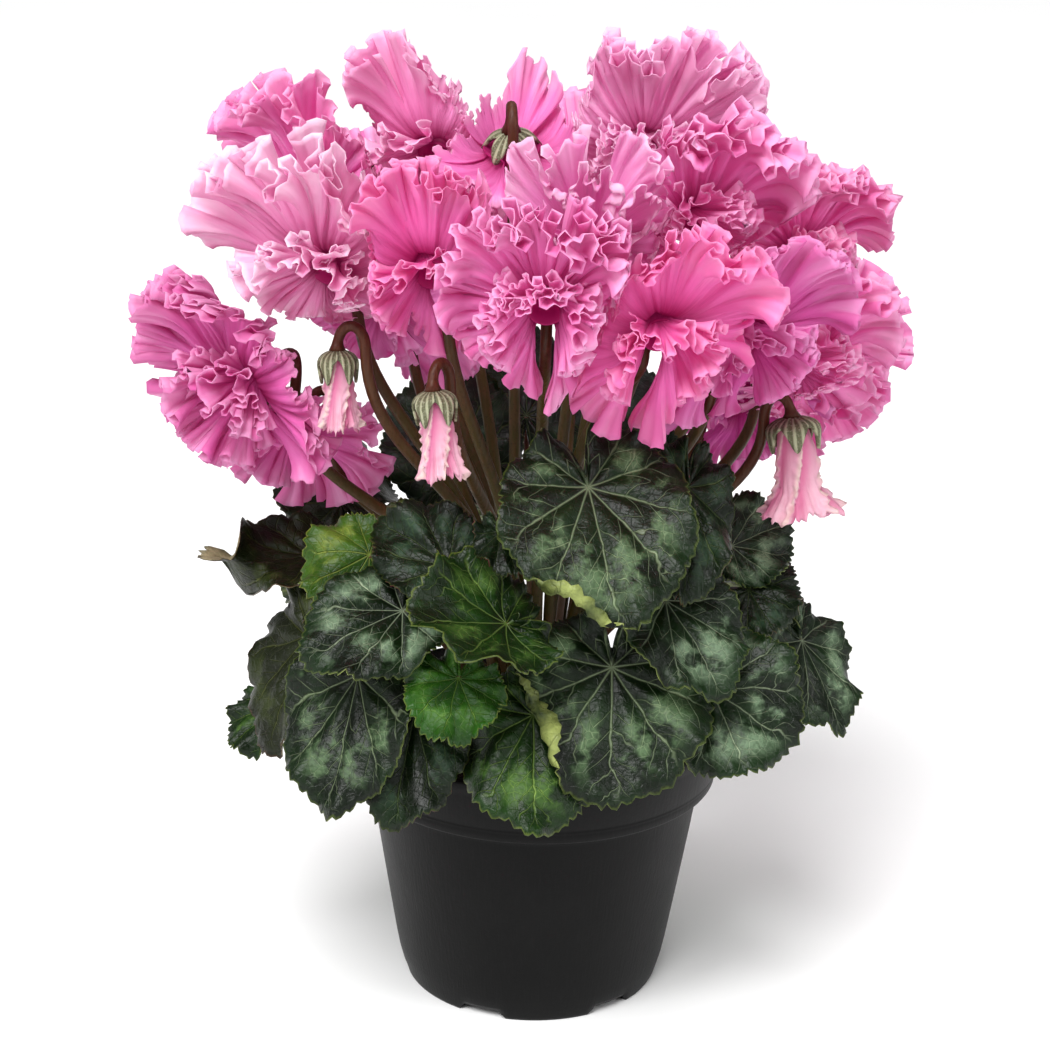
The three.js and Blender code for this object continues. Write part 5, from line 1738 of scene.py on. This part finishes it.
@dataclass
class Corollas:
    """The open blooms: throats with five broad and three short ruffled petals."""

    stems: FlowerStems
    blooms: tuple[BloomSpec, ...] = BLOOMS
    broad_mesh: Mesh = Mesh(14, 144, 5, 4)
    short_mesh: Mesh = Mesh(10, 112, 3, 3)
    frill_mesh: Mesh = Mesh(9, 112, 3, 3)
    back_mesh: Mesh = Mesh(12, 80, 5, 3)
    row_bias: float = 1.15
    length_range: Pair = (0.94, 1.06)
    twist_range: Pair = (0.12, 0.24)
    arch_range: Pair = (-0.15, 0.1)
    uneven_spread: float = 12.0
    short_forward: float = 72.0
    smooth_curl: float = 0.6
    lacy_curl: float = 0.95
    curl_mean: float = 0.75
    curl_swing: float = 0.6
    curl_zone: Pair = (0.45, 1.0)
    ripple_waves: float = 3.0
    ripple_angle: float = 0.36
    ripple_onset: float = 1.3
    smooth: tuple[Ruffle, ...] = (Ruffle(7.0, 2.5, 2.0, 0.5), Ruffle(21.0, 1.6, 2.9, 0.4))
    lacy: tuple[Ruffle, ...] = (Ruffle(10.0, 2.7, 1.6, 0.55), Ruffle(23.0, 1.6, 2.5, 0.4))
    short_waves: float = 0.7
    nick_waves: float = 118.0
    nick_depth: float = 0.055
    nick_onset: float = 9.0
    corner_rounding: float = 0.1
    root_thickness: float = 1.2
    rim_thinning: float = 0.9
    frill_bearings: Triple = (74.0, 178.0, 282.0)
    frill_stray: float = 12.0
    frill_length: float = 0.52
    frill_fan: float = 46.0
    frill_spread: Pair = (28.0, 58.0)
    frill_twist: Pair = (-0.2, 0.3)
    frill_arch: Pair = (-0.2, 0.2)
    mouth_radius: float = 3.6
    mouth_depth: float = -1.5
    stem_near: Pair = (3.0, 8.0)
    stem_far: Pair = (22.0, 36.0)
    far_easing: float = 0.8
    calyx_zone: Pair = (-2.0, 3.0)
    most_growth: float = 4.0
    throat_sides: int = 32
    throat_profile: tuple[Pair, ...] = (
        (0.6, -THROAT_BACK), (THROAT_BACK_RADIUS, -THROAT_BACK + 0.3), (4.6, 0.0),
        (THROAT_FRONT_RADIUS + 0.3, THROAT_FRONT), (THROAT_FRONT_RADIUS - 0.3, THROAT_FRONT),
        (4.0, 0.0), (2.6, -THROAT_BACK + 1.0), (0.4, -THROAT_BACK + 0.8),
    )

    def centre(self, head: HeadSpec) -> Array:
        """Returns the middle of a head, a little behind its throat."""
        return vector(head.at) - unit(head.mouth) * CELL_BACK

    def cell(self, bloom: BloomSpec) -> Cell:
        """Finds the room between a bloom's neighbours and the stems that pass it.

        Args:
            bloom: the bloom.

        Returns:
            The room.
        """
        centre = self.centre(bloom)
        normals, reaches = [], []
        for other in self.stems.heads:
            if other is bloom:
                continue
            apart = self.centre(other) - centre
            distance = float(np.linalg.norm(apart))
            normals.append(apart / distance)
            reaches.append(distance * bloom.room / (bloom.room + other.room) - CELL_GAP)
            path = self.stems.paths[other.name]
            gaps = np.linalg.norm(path - centre, axis=1)
            nearest = int(gaps.argmin())
            if gaps[nearest] < STEM_RANGE:
                normals.append(unit(path[nearest] - centre))
                reaches.append(gaps[nearest] - STEM_CLEAR)
        return Cell(centre, np.array(normals), np.array(reaches))

    def petals(self, bloom: BloomSpec) -> list[Petal]:
        """Shapes the petals of a bloom.

        Args:
            bloom: the bloom.

        Returns:
            The petals, in order round its mouth.
        """
        random = SeededNumbers(bloom.seed)
        shapes = [[random.draw() for _ in range(4)] for _ in LOBES]
        petals = []
        bearing, main = STEM_GAP_HALF, 0
        for kind, (turn, size, twist, arch) in zip(LOBES, shapes):
            broad, lobe = kind is Lobe.BROAD, kind.value
            spread = bloom.spread[main] - (0 if broad else self.short_forward)
            spread += self.uneven_spread * (turn - 0.5)
            angles = (bearing + lobe.arc / 2, lobe.arc / 2, spread, lobe.start, lobe.half_fan)
            length = bloom.petal * lobe.length * between(self.length_range, size)
            shape = (length, between(self.twist_range, twist), between(self.arch_range, arch))
            petals.append(Petal.drawn(angles, shape, broad, random))
            bearing += lobe.arc
            main += 1 if broad and main < len(bloom.spread) - 1 else 0
        return petals + (self.frills(bloom, random) if bloom.lacy else [])

    def frills(self, bloom: BloomSpec, random: SeededNumbers) -> list[Petal]:
        """Shapes the small crimped lobes that fill the middle of a lacy bloom.

        Args:
            bloom: the bloom.
            random: the bloom's numbers.

        Returns:
            The lobes.
        """
        lobes = []
        short = Lobe.SHORT.value
        for middle in self.frill_bearings:
            bearing = middle + random.draw(-self.frill_stray, self.frill_stray)
            spread = random.draw(*self.frill_spread)
            angles = (bearing, short.arc / 2, spread, short.start, self.frill_fan)
            twist, arch = random.draw(*self.frill_twist), random.draw(*self.frill_arch)
            shape = (bloom.petal * self.frill_length, twist, arch)
            lobes.append(Petal.drawn(angles, shape, False, random))
        return lobes

    def fan(self, bloom: BloomSpec, petal: Petal, edges: Array, v: Array) -> Array:
        """Spreads a petal out before its rim is ruffled.

        Args:
            bloom: the bloom.
            petal: the petal.
            edges: the rows' places along the petal, from 0 to 1.
            v: the columns' places across it, from -1 to 1.

        Returns:
            Its points, row after row.
        """
        axes = head_axes(bloom)
        t = ((edges[1:] + edges[:-1]) / 2)[:, None]
        steps = np.diff(edges)[:, None]
        away = axes.out * math.cos(petal.azimuth) + axes.across * math.sin(petal.azimuth)
        lateral = np.cross(axes.along, away)
        bent = 1 - (1 - np.minimum(1, t / PETAL_BEND_LENGTH)) ** 2
        curl = self.lacy_curl if bloom.lacy else self.smooth_curl
        uneven = self.curl_mean + self.curl_swing * math.sin(petal.swings[3])
        curl = curl * uneven if petal.broad else 0.0
        turn = between((petal.start, petal.spread), bent) - curl * smoothstep(t, *self.curl_zone)
        ahead = np.cos(turn) * axes.along + np.sin(turn) * away
        normal = -np.sin(turn) * axes.along + np.cos(turn) * away
        fan = petal.fan * v
        ray = np.cos(fan)[..., None] * ahead[:, None] + np.sin(fan)[..., None] * lateral
        phase = math.pi / 2 + 0.5 * np.sin(petal.swings[1] + 2 * t)
        ripple = np.sin(self.ripple_waves * math.pi * (v + 1) + phase)
        tilt = self.ripple_angle * t**self.ripple_onset * ripple
        tilt = tilt + petal.twist * v * t + petal.arch * v**2 * t
        ragged = wavy(v, (0.03, 9, petal.swings[0]), (0.02, 23, petal.swings[1]))
        nicks = np.sin(self.nick_waves * v + 3 * np.sin(7 * v + petal.swings[2])) * t**self.nick_onset
        uneven = 1 + ragged * t**2 + self.nick_depth * nicks
        reach = petal.length * (1 - self.corner_rounding * v**2) * uneven
        move = np.cos(tilt)[..., None] * ray + np.sin(tilt)[..., None] * normal[:, None]
        move = move * (steps * reach)[..., None]
        turned = petal.half_arc * v[0]
        aside = np.cos(turned)[:, None] * away + np.sin(turned)[:, None] * lateral
        start = axes.at + axes.along * self.mouth_depth + self.mouth_radius * aside
        return np.concatenate([start[None], start + np.cumsum(move, 0)])

    def ruffled(self, points: Array, ruffle: Ruffle, t: Array, v: Array, swings: Sequence[float]) -> Waved:
        """Adds one set of rounded waves to a petal.

        Args:
            points: the petal's points, row after row.
            ruffle: the waves.
            t: the rows' places along the petal, one column.
            v: the columns' places across it, one row.
            swings: three random turns.

        Returns:
            The moved points, and how high each stands in its wave.
        """
        one, two, three = swings
        across = np.gradient(points, v[0], axis=1)
        normal = np.cross(across, np.gradient(points, t[:, 0], axis=0))
        normal /= np.linalg.norm(normal, axis=-1, keepdims=True) + TINY
        phase = ruffle.waves * math.pi * (v + 1) + one + 0.9 * np.sin(3.1 * v + two + 1.5 * t)
        uneven = 1 + 0.4 * np.sin(4.3 * v + three - t)
        strength = t**ruffle.onset
        wave = np.sin(phase) * uneven
        aside = np.sin(2 * phase) * strength * ruffle.roundness / (ruffle.waves * math.pi)
        moved = normal * (ruffle.depth * strength * wave)[..., None] - across * aside[..., None]
        return points + moved, wave * strength

    def surface(self, bloom: BloomSpec, petal: Petal, cell: Cell, mesh: Mesh) -> Solid:
        """Makes one petal: a fan that leaves the throat, bends back and ruffles to its rim.

        Args:
            bloom: the bloom.
            petal: the petal.
            cell: the room that the bloom has.
            mesh: how finely the petal is divided.

        Returns:
            The petal.
        """
        edges = 1 - (1 - np.linspace(0, 1, mesh.rows)) ** self.row_bias
        t, v = edges[:, None], np.linspace(-1, 1, mesh.columns + 1)[None, :]
        points = self.fan(bloom, petal, edges, v)
        # Height in the ruffles' waves; from it the skin paints shade in their troughs and light on their
        # crests.
        crease = 0 * t * v
        share = petal.length / bloom.petal * bloom.frill
        ruffles = self.lacy if bloom.lacy or not petal.broad else self.smooth
        for number, ruffle in enumerate(ruffles):
            waves = ruffle.waves if petal.broad else ruffle.waves * self.short_waves
            scaled = Ruffle(waves, ruffle.depth * share, ruffle.onset, ruffle.roundness)
            points, wave = self.ruffled(points, scaled, t, v, petal.swings[number : number + 3])
            crease = crease + wave
        axes = head_axes(bloom)
        points = cell.kept(self.clear_of_stem(axes, petal, points)).reshape(-1, 3)
        along = np.repeat(t, mesh.columns + 1, 1)
        data = np.stack([along, np.repeat(v, mesh.rows, 0), crease], -1).reshape(-1, 3)
        faces, rim = graded_faces(mesh)
        thickness = PETAL_THICKNESS * (self.root_thickness - self.rim_thinning * along.ravel())
        return thin_solid(points, faces, rim, thickness, "petal", data)

    def clear_of_stem(self, axes: Axes, petal: Petal, points: Array) -> Array:
        """Moves a petal off the bloom's own stem and calyx.

        Args:
            axes: the bloom's place.
            petal: the petal.
            points: its points.

        Returns:
            The moved points.
        """
        offset = points - axes.at
        sign = -1.0 if math.sin(petal.azimuth) < 0 else 1.0
        outward, aside, ahead = offset @ axes.out, offset @ axes.across * sign, offset @ axes.along
        near = smoothstep(outward, *self.stem_near)
        clear = OWN_STEM_CLEAR * (1 - self.far_easing * smoothstep(outward, *self.stem_far))
        short = aside / clear - 2
        wanted = clear * (1 + np.exp(np.minimum(0, short)))
        aside = np.where(short < 0, aside + (wanted - aside) * near, aside) * sign
        radius = np.hypot(outward, aside) + 1e-6
        least = SEPAL_TIP_RADIUS + CALYX_CLEAR
        behind = smoothstep(-ahead, *self.calyx_zone)
        grow = np.where(radius < least, 1 + (least / radius - 1) * behind, 1.0)
        grow = np.minimum(grow, self.most_growth)
        sideways = (outward * grow)[..., None] * axes.out + (aside * grow)[..., None] * axes.across
        return axes.at + sideways + ahead[..., None] * axes.along

    def throat(self, bloom: BloomSpec) -> Solid:
        """Makes the cup that the petals spring from.

        Args:
            bloom: the bloom.

        Returns:
            The cup.
        """
        axes = head_axes(bloom)
        rings = revolved(self.throat_profile, self.throat_sides)
        place = np.stack([axes.out, axes.across, axes.along])
        solid = turned_shell(rings @ place + axes.at)
        return solid.with_value("petal", np.zeros_like(solid.points))

    def build(self) -> None:
        """Makes every bloom as one piece."""
        for bloom in self.blooms:
            cell = self.cell(bloom)
            solids = [self.throat(bloom)]
            for number, petal in enumerate(self.petals(bloom)):
                mesh = self.broad_mesh if petal.broad else self.short_mesh
                mesh = self.frill_mesh if number >= len(LOBES) else mesh
                mesh = mesh if bloom.seen else self.back_mesh
                solids.append(self.surface(bloom, petal, cell, mesh))
            skin = PetalSkin(bloom.name, bloom.body, bloom.rim).material()
            show(joined(solids), bloom.name, [skin])


@dataclass
class Buds:
    """The closed buds: petals furled round each other into a blunt spindle."""

    buds: tuple[BudSpec, ...] = BUDS
    sides: int = 96
    rings: int = 44
    twist: float = 1.1
    folds: int = 5
    width_places: tuple[float, ...] = (0, 0.06, 0.25, 0.5, 0.68, 0.74, 1)
    body_widths: tuple[float, ...] = (0.3, 0.62, 0.8, 0.88)
    end_width: float = 0.1
    foot: float = -5.2
    hollow: float = 0.55
    least_mouth: float = 0.6
    mouth_gain: float = 0.9
    lip: float = 0.12
    furl_end: float = 0.7
    ridge_height: float = 0.24
    crimp_height: float = 0.13
    crimp_waves: float = 44.0

    def furled(self, bud: BudSpec) -> Solid:
        """Makes a bud with spiral folds and a frilled tip.

        Args:
            bud: the bud.

        Returns:
            The bud.
        """
        axes = head_axes(bud)
        share = np.linspace(0, 1, self.rings)[:, None]
        turn = np.linspace(0, 2 * math.pi, self.sides, endpoint=False)[None, :]
        wide = self.least_mouth + self.mouth_gain * bud.calyx_scale**2
        widths = [*self.body_widths, wide, wide - self.lip, self.end_width]
        shape = np.interp(share, self.width_places, widths)
        out = np.minimum(1, share / self.furl_end)
        phase = self.folds * (turn - self.twist * out)
        fold = 1 - ((phase / (2 * math.pi)) % 1)
        ridge = 1 + self.ridge_height * (fold - 0.6) * smoothstep(out, 0.05, 0.5)
        crimp = np.sin(self.crimp_waves * out + 4 * np.sin(3 * turn)) * smoothstep(out, 0.2, 0.5)
        ridge = ridge + self.crimp_height * crimp * smoothstep(fold, 0.55, 0.95)
        rim = smoothstep(out, 0.45, 1.0) * (1 - smoothstep(share, 0.74, 0.95))
        frill = wavy(turn, (0.1, 9, bud.seed), (0.12, 23, 2 * np.sin(3 * turn)))
        radius = bud.radius * shape * ridge * (1 + rim * frill)
        # How far into the hollow tip a ring lies: it sinks the tip, and the skin paints shade there.
        inside = smoothstep(share, 0.72, 1.0)
        ragged = rim * wavy(turn, (0.9, 3, bud.seed), (0.7, 13, 0), (0.6, 29, 0))
        height = self.foot + (bud.length - self.foot) * out - inside * bud.length * self.hollow + ragged
        solid = turned_shell(axes.at + axes.circled(radius, turn) + height[..., None] * axes.along)
        data = np.stack([out + 0 * turn, fold * 2 - 1, inside + 0 * turn], -1).reshape(-1, 3)
        ends = np.array([[0.0, 0, 0], [1.0, 0, 0]])
        return solid.with_value("furl", np.concatenate([data, ends]))

    def build(self) -> None:
        """Makes every bud."""
        skin = BudSkin().material()
        for bud in self.buds:
            show(self.furled(bud), bud.name, [skin])


@dataclass
class NurseryPot:
    """The pot: a tapered body, a collar, a rolled rim and a foot ring in segments."""

    sides: int = 240
    gap_slope: float = 0.03
    profile: tuple[Pair, ...] = (
        (4.0, FOOT_HEIGHT + POT_FLOOR), (42.0, FOOT_HEIGHT + POT_FLOOR), (44.6, 9.6),
        (54.9, 74.0), (59.8, 76.2), (62.6, 95.4), (63.2, 95.9), (64.1, 96.0), (64.7, 95.6),
        (64.95, 94.6), (64.7, 92.6), (64.2, 91.4), (63.9, 90.0), (62.4, 79.6), (62.1, 79.1),
        (62.15, 78.7), (62.2, 78.4), (61.9, 77.9), (61.95, 77.5), (61.6, 75.2),
        (61.2, 74.6), (60.4, 74.2), (57.6, 73.4), (56.6, 72.4), (56.4, 71.0), (54.2, 56.5),
        (51.9, 42.0), (49.6, 27.8), (47.4, 14.4), (46.4, 9.2), (46.0, 7.6), (45.2, 4.6),
        (44.2, 1.2), (43.7, 0.2), (43.0, 0.0), (38.0, 0.0), (37.2, 0.5), (37.0, 2.6),
        (36.4, 3.0), (4.0, 3.0),
    )

    def build(self) -> None:
        """Makes the pot and its foot's gaps."""
        rings = revolved(self.profile[::-1], self.sides)
        angles = np.linspace(0, 2 * math.pi, self.sides, endpoint=False)
        step = 2 * math.pi / FOOT_GAPS
        offset = np.abs((angles - FOOT_GAP_TURN + step / 2) % step - step / 2)
        half = FOOT_GAP_ARC / 2
        gap = 1 - smoothstep(offset, half - self.gap_slope, half + self.gap_slope)
        rings[..., 2] = np.maximum(rings[..., 2], FOOT_HEIGHT * gap)
        show(turned_shell(rings), "pot", [PotPlastic().material()])


@dataclass
class PeatFill:
    """The peat: it fills the pot to under the rim and rises a little to the tuber."""

    sides: int = 180
    lower: tuple[Pair, ...] = ((3, 5.4), (42, 5.4), (44.2, 9), (54.4, 74.2), (59.2, 76.6))
    rim_radius: float = 60.6
    top_drop: float = 0.8
    bowl_gap: float = 0.5
    mouth_gap: float = 0.1
    bowl_shares: tuple[float, ...] = (0.98, 0.9, 0.7, 0.4, 0.1)
    rows: int = 46
    seed: int = 5
    grain: float = 0.7
    evening: float = 1.7
    grain_range: Pair = (-1.6, 0.7)

    def build(self) -> None:
        """Makes the peat with a crumbled top and a bowl for the tuber."""
        bowl = TUBER_RADIUS + self.bowl_gap
        sink = (SOIL_TOP + SOIL_HEAP - TUBER_Z) / TUBER_HALF_HEIGHT
        mouth = bowl * math.sqrt(1 - sink * sink) + self.mouth_gap
        top = []
        for share in np.linspace(0, 1, self.rows):
            rise = SOIL_HEAP * float(smoothstep(share, 0.1, 1))
            radius = self.rim_radius + (mouth - self.rim_radius) * share
            top.append((radius, SOIL_TOP + rise - self.top_drop))
        under = []
        for share in self.bowl_shares:
            depth = (TUBER_HALF_HEIGHT + self.bowl_gap) * math.sqrt(1 - share * share)
            under.append((bowl * share, TUBER_Z - depth))
        rings = revolved([*self.lower, *top, *under], self.sides)
        random = np.random.default_rng(self.seed)
        first = len(self.lower)
        crumbs = random.normal(0, 1, (self.rows, self.sides))
        crumbs = (crumbs + np.roll(crumbs, 1, 1) + np.roll(crumbs, 1, 0)) / self.evening
        rings[first : first + self.rows, :, 2] += np.clip(crumbs * self.grain, *self.grain_range)
        show(turned_shell(rings), "soil", [Peat().material()])


@dataclass
class Tuber:
    """The corky tuber: a flat ball with a sunk crown and grooves round it."""

    sides: int = 120
    under: tuple[float, ...] = (0.05, 0.4, 0.7, 0.9, 0.99)
    belly: float = 0.995
    middle_radius: float = 2.0

    def height(self, share: float) -> float:
        """Returns how far the ball's skin lies from its middle plane, at a share of its radius."""
        return TUBER_HALF_HEIGHT * math.sqrt(1 - share**2)

    def build(self) -> None:
        """Makes the tuber."""
        profile = [(TUBER_RADIUS * share, TUBER_Z - self.height(share)) for share in self.under]
        profile.append((TUBER_RADIUS * self.belly, TUBER_Z))
        for radius, floor in reversed(list(zip(GROOVE_RADII, GROOVE_FLOORS))):
            for edge in (radius + GROOVE_HALF, radius - GROOVE_HALF):
                rim = (edge, TUBER_Z + self.height(edge / TUBER_RADIUS))
                deep = (edge, floor)
                profile += [rim, deep] if edge > radius else [deep, rim]
        brink = TUBER_Z + self.height(CROWN_RECESS_RADIUS / TUBER_RADIUS)
        profile.append((CROWN_RECESS_RADIUS, brink))
        profile += [(CROWN_RECESS_RADIUS, CROWN_RECESS_Z), (self.middle_radius, CROWN_RECESS_Z)]
        rings = revolved(profile, self.sides)
        show(turned_shell(rings), "tuber", [CorkSkin().material()])


def placed(name: str, data: bpy.types.ID) -> bpy.types.Object:
    """Adds an object to the scene.

    Args:
        name: its name.
        data: the mesh, light or camera that it shows.

    Returns:
        The object.
    """
    thing = bpy.data.objects.new(name, data)
    bpy.context.scene.collection.objects.link(thing)
    return thing


def show(solid: Solid, node: str, skins: Sequence[Material]) -> None:
    """Makes a mesh piece that stands for a solid of the part.

    Args:
        solid: the piece's shape, in millimetres.
        node: the name of the solid that it replaces.
        skins: its materials, in the order of the face's material numbers.
    """
    low, high = (vector(corner) for corner in SOLID_BOX)
    points = np.clip(solid.points * MM, low, high)
    mesh = bpy.data.meshes.new(f"{node}_mesh")
    mesh.from_pydata(points.tolist(), [], solid.faces)
    for name, value in solid.values.items():
        layer = mesh.attributes.new(name, "FLOAT_VECTOR", "POINT")
        layer.data.foreach_set("vector", np.ascontiguousarray(value, np.float32).ravel())
    for skin in skins:
        mesh.materials.append(skin)
    if solid.slots:
        mesh.polygons.foreach_set("material_index", solid.slots)
    mesh.shade_smooth()
    mesh.update()
    piece = placed(f"{node}_surface", mesh)
    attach(piece, "root")
    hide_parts(node)
    triangles = sum(len(face) - 2 for face in solid.faces)
    LOG.info("%s: %d triangles", piece.name, triangles)


@dataclass(frozen=True)
class Lamp:
    """A square soft light: its place and side in metres, and its strength in watts."""

    name: str
    place: Triple
    side: float
    watts: float


@dataclass
class Studio:
    """The pale floor, the soft lights and the camera at the photograph's angle, in metres."""

    floor_side: float = 90.0
    sky: float = 0.25
    aim: Triple = (0.0, 0.0, 0.17)
    sun_way: Triple = (-0.25, -0.75, 1.0)
    sun_strength: float = 3.15
    sun_degrees: float = 32.0
    lamps: tuple[Lamp, ...] = (
        Lamp("left", (-1.1, -0.9, 0.9), 0.5, 7.0),
        Lamp("right", (1.2, -0.8, 0.8), 0.6, 5.5),
        Lamp("top", (0.1, 0.3, 1.5), 0.8, 6.0),
    )
    sight: Pair = (0.05, 60.0)

    def build(self) -> None:
        """Makes the floor, lights, world and camera."""
        self.floor()
        self.sun()
        for lamp in self.lamps:
            self.light(lamp)
        world = bpy.data.worlds.new("studio")
        bpy.context.scene.world = world
        world.use_nodes = True
        background = world.node_tree.nodes["Background"]
        background.inputs["Color"].default_value = (1.0, 1.0, 1.0, 1.0)
        background.inputs["Strength"].default_value = self.sky
        bpy.context.scene.view_settings.view_transform = "Standard"
        self.camera()

    def floor(self) -> None:
        """Makes the floor, which isn't part of the plant."""
        half = self.floor_side / 2
        mesh = bpy.data.meshes.new("floor_mesh")
        corners = [(-half, -half, 0), (half, -half, 0), (half, half, 0), (-half, half, 0)]
        mesh.from_pydata(corners, [], [[0, 1, 2, 3]])
        graph = Graph("floor_paint")
        colour = graph.mix(graph.noise(3.0), "#fbfbfb", "#ffffff")
        mesh.materials.append(graph.finished(Base_Color=colour, Roughness=0.9))
        plane = placed("floor", mesh)

    def sun(self) -> None:
        """Makes the far soft light that shines from the front."""
        data = bpy.data.lights.new("key", "SUN")
        data.energy = self.sun_strength
        data.angle = math.radians(self.sun_degrees)
        placed("key", data).matrix_world = looking(unit(self.sun_way), vector(self.sun_way))

    def light(self, lamp: Lamp) -> None:
        """Makes one lamp that faces the plant's middle.

        Args:
            lamp: the lamp.
        """
        data = bpy.data.lights.new(lamp.name, "AREA")
        data.size = lamp.side
        data.energy = lamp.watts
        place = vector(lamp.place)
        back = unit(place - vector(self.aim))
        placed(lamp.name, data).matrix_world = looking(back, place)

    def camera(self) -> None:
        """Makes the camera, fitted to the photograph."""
        back = vector([0, -math.cos(CAMERA_PITCH), math.sin(CAMERA_PITCH)])
        place = (vector([0, 0, CAMERA_AIM_Z]) + CAMERA_DISTANCE * back) * MM
        data = bpy.data.cameras.new("camera")
        data.sensor_width = SENSOR_MM
        data.lens = FOCAL_PIXELS / IMAGE_SIDE * SENSOR_MM
        data.shift_x = -CENTRE_SHIFT[0] / IMAGE_SIDE
        data.shift_y = CENTRE_SHIFT[1] / IMAGE_SIDE
        data.clip_start, data.clip_end = self.sight
        camera = placed("camera", data)
        camera.matrix_world = looking(back, place) @ Matrix.Rotation(CAMERA_ROLL, 4, "Z")
        bpy.context.scene.camera = camera


def looking(back: Array, place: Array) -> Matrix:
    """Turns a camera or light.

    Args:
        back: the way that its back points.
        place: where it stands, in metres.

    Returns:
        Its matrix.
    """
    right = unit(np.cross([0.0, 0.0, 1.0], back))
    up = np.cross(back, right)
    columns = np.stack([right, up, back, place], 1)
    return Matrix([*columns.tolist(), [0.0, 0.0, 0.0, 1.0]])


def write_sizes() -> None:
    """Brings the scene's view layer up to date."""
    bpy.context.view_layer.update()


def main() -> None:
    """Builds the plant, its pot and the studio."""
    NurseryPot().build()
    PeatFill().build()
    Tuber().build()
    stems = FlowerStems()
    stems.build()
    Foliage().build()
    Corollas(stems).build()
    Buds().build()
    Studio().build()
    write_sizes()


if __name__ == "__main__":
    logging.basicConfig(level=logging.INFO, format="%(message)s")
    main()
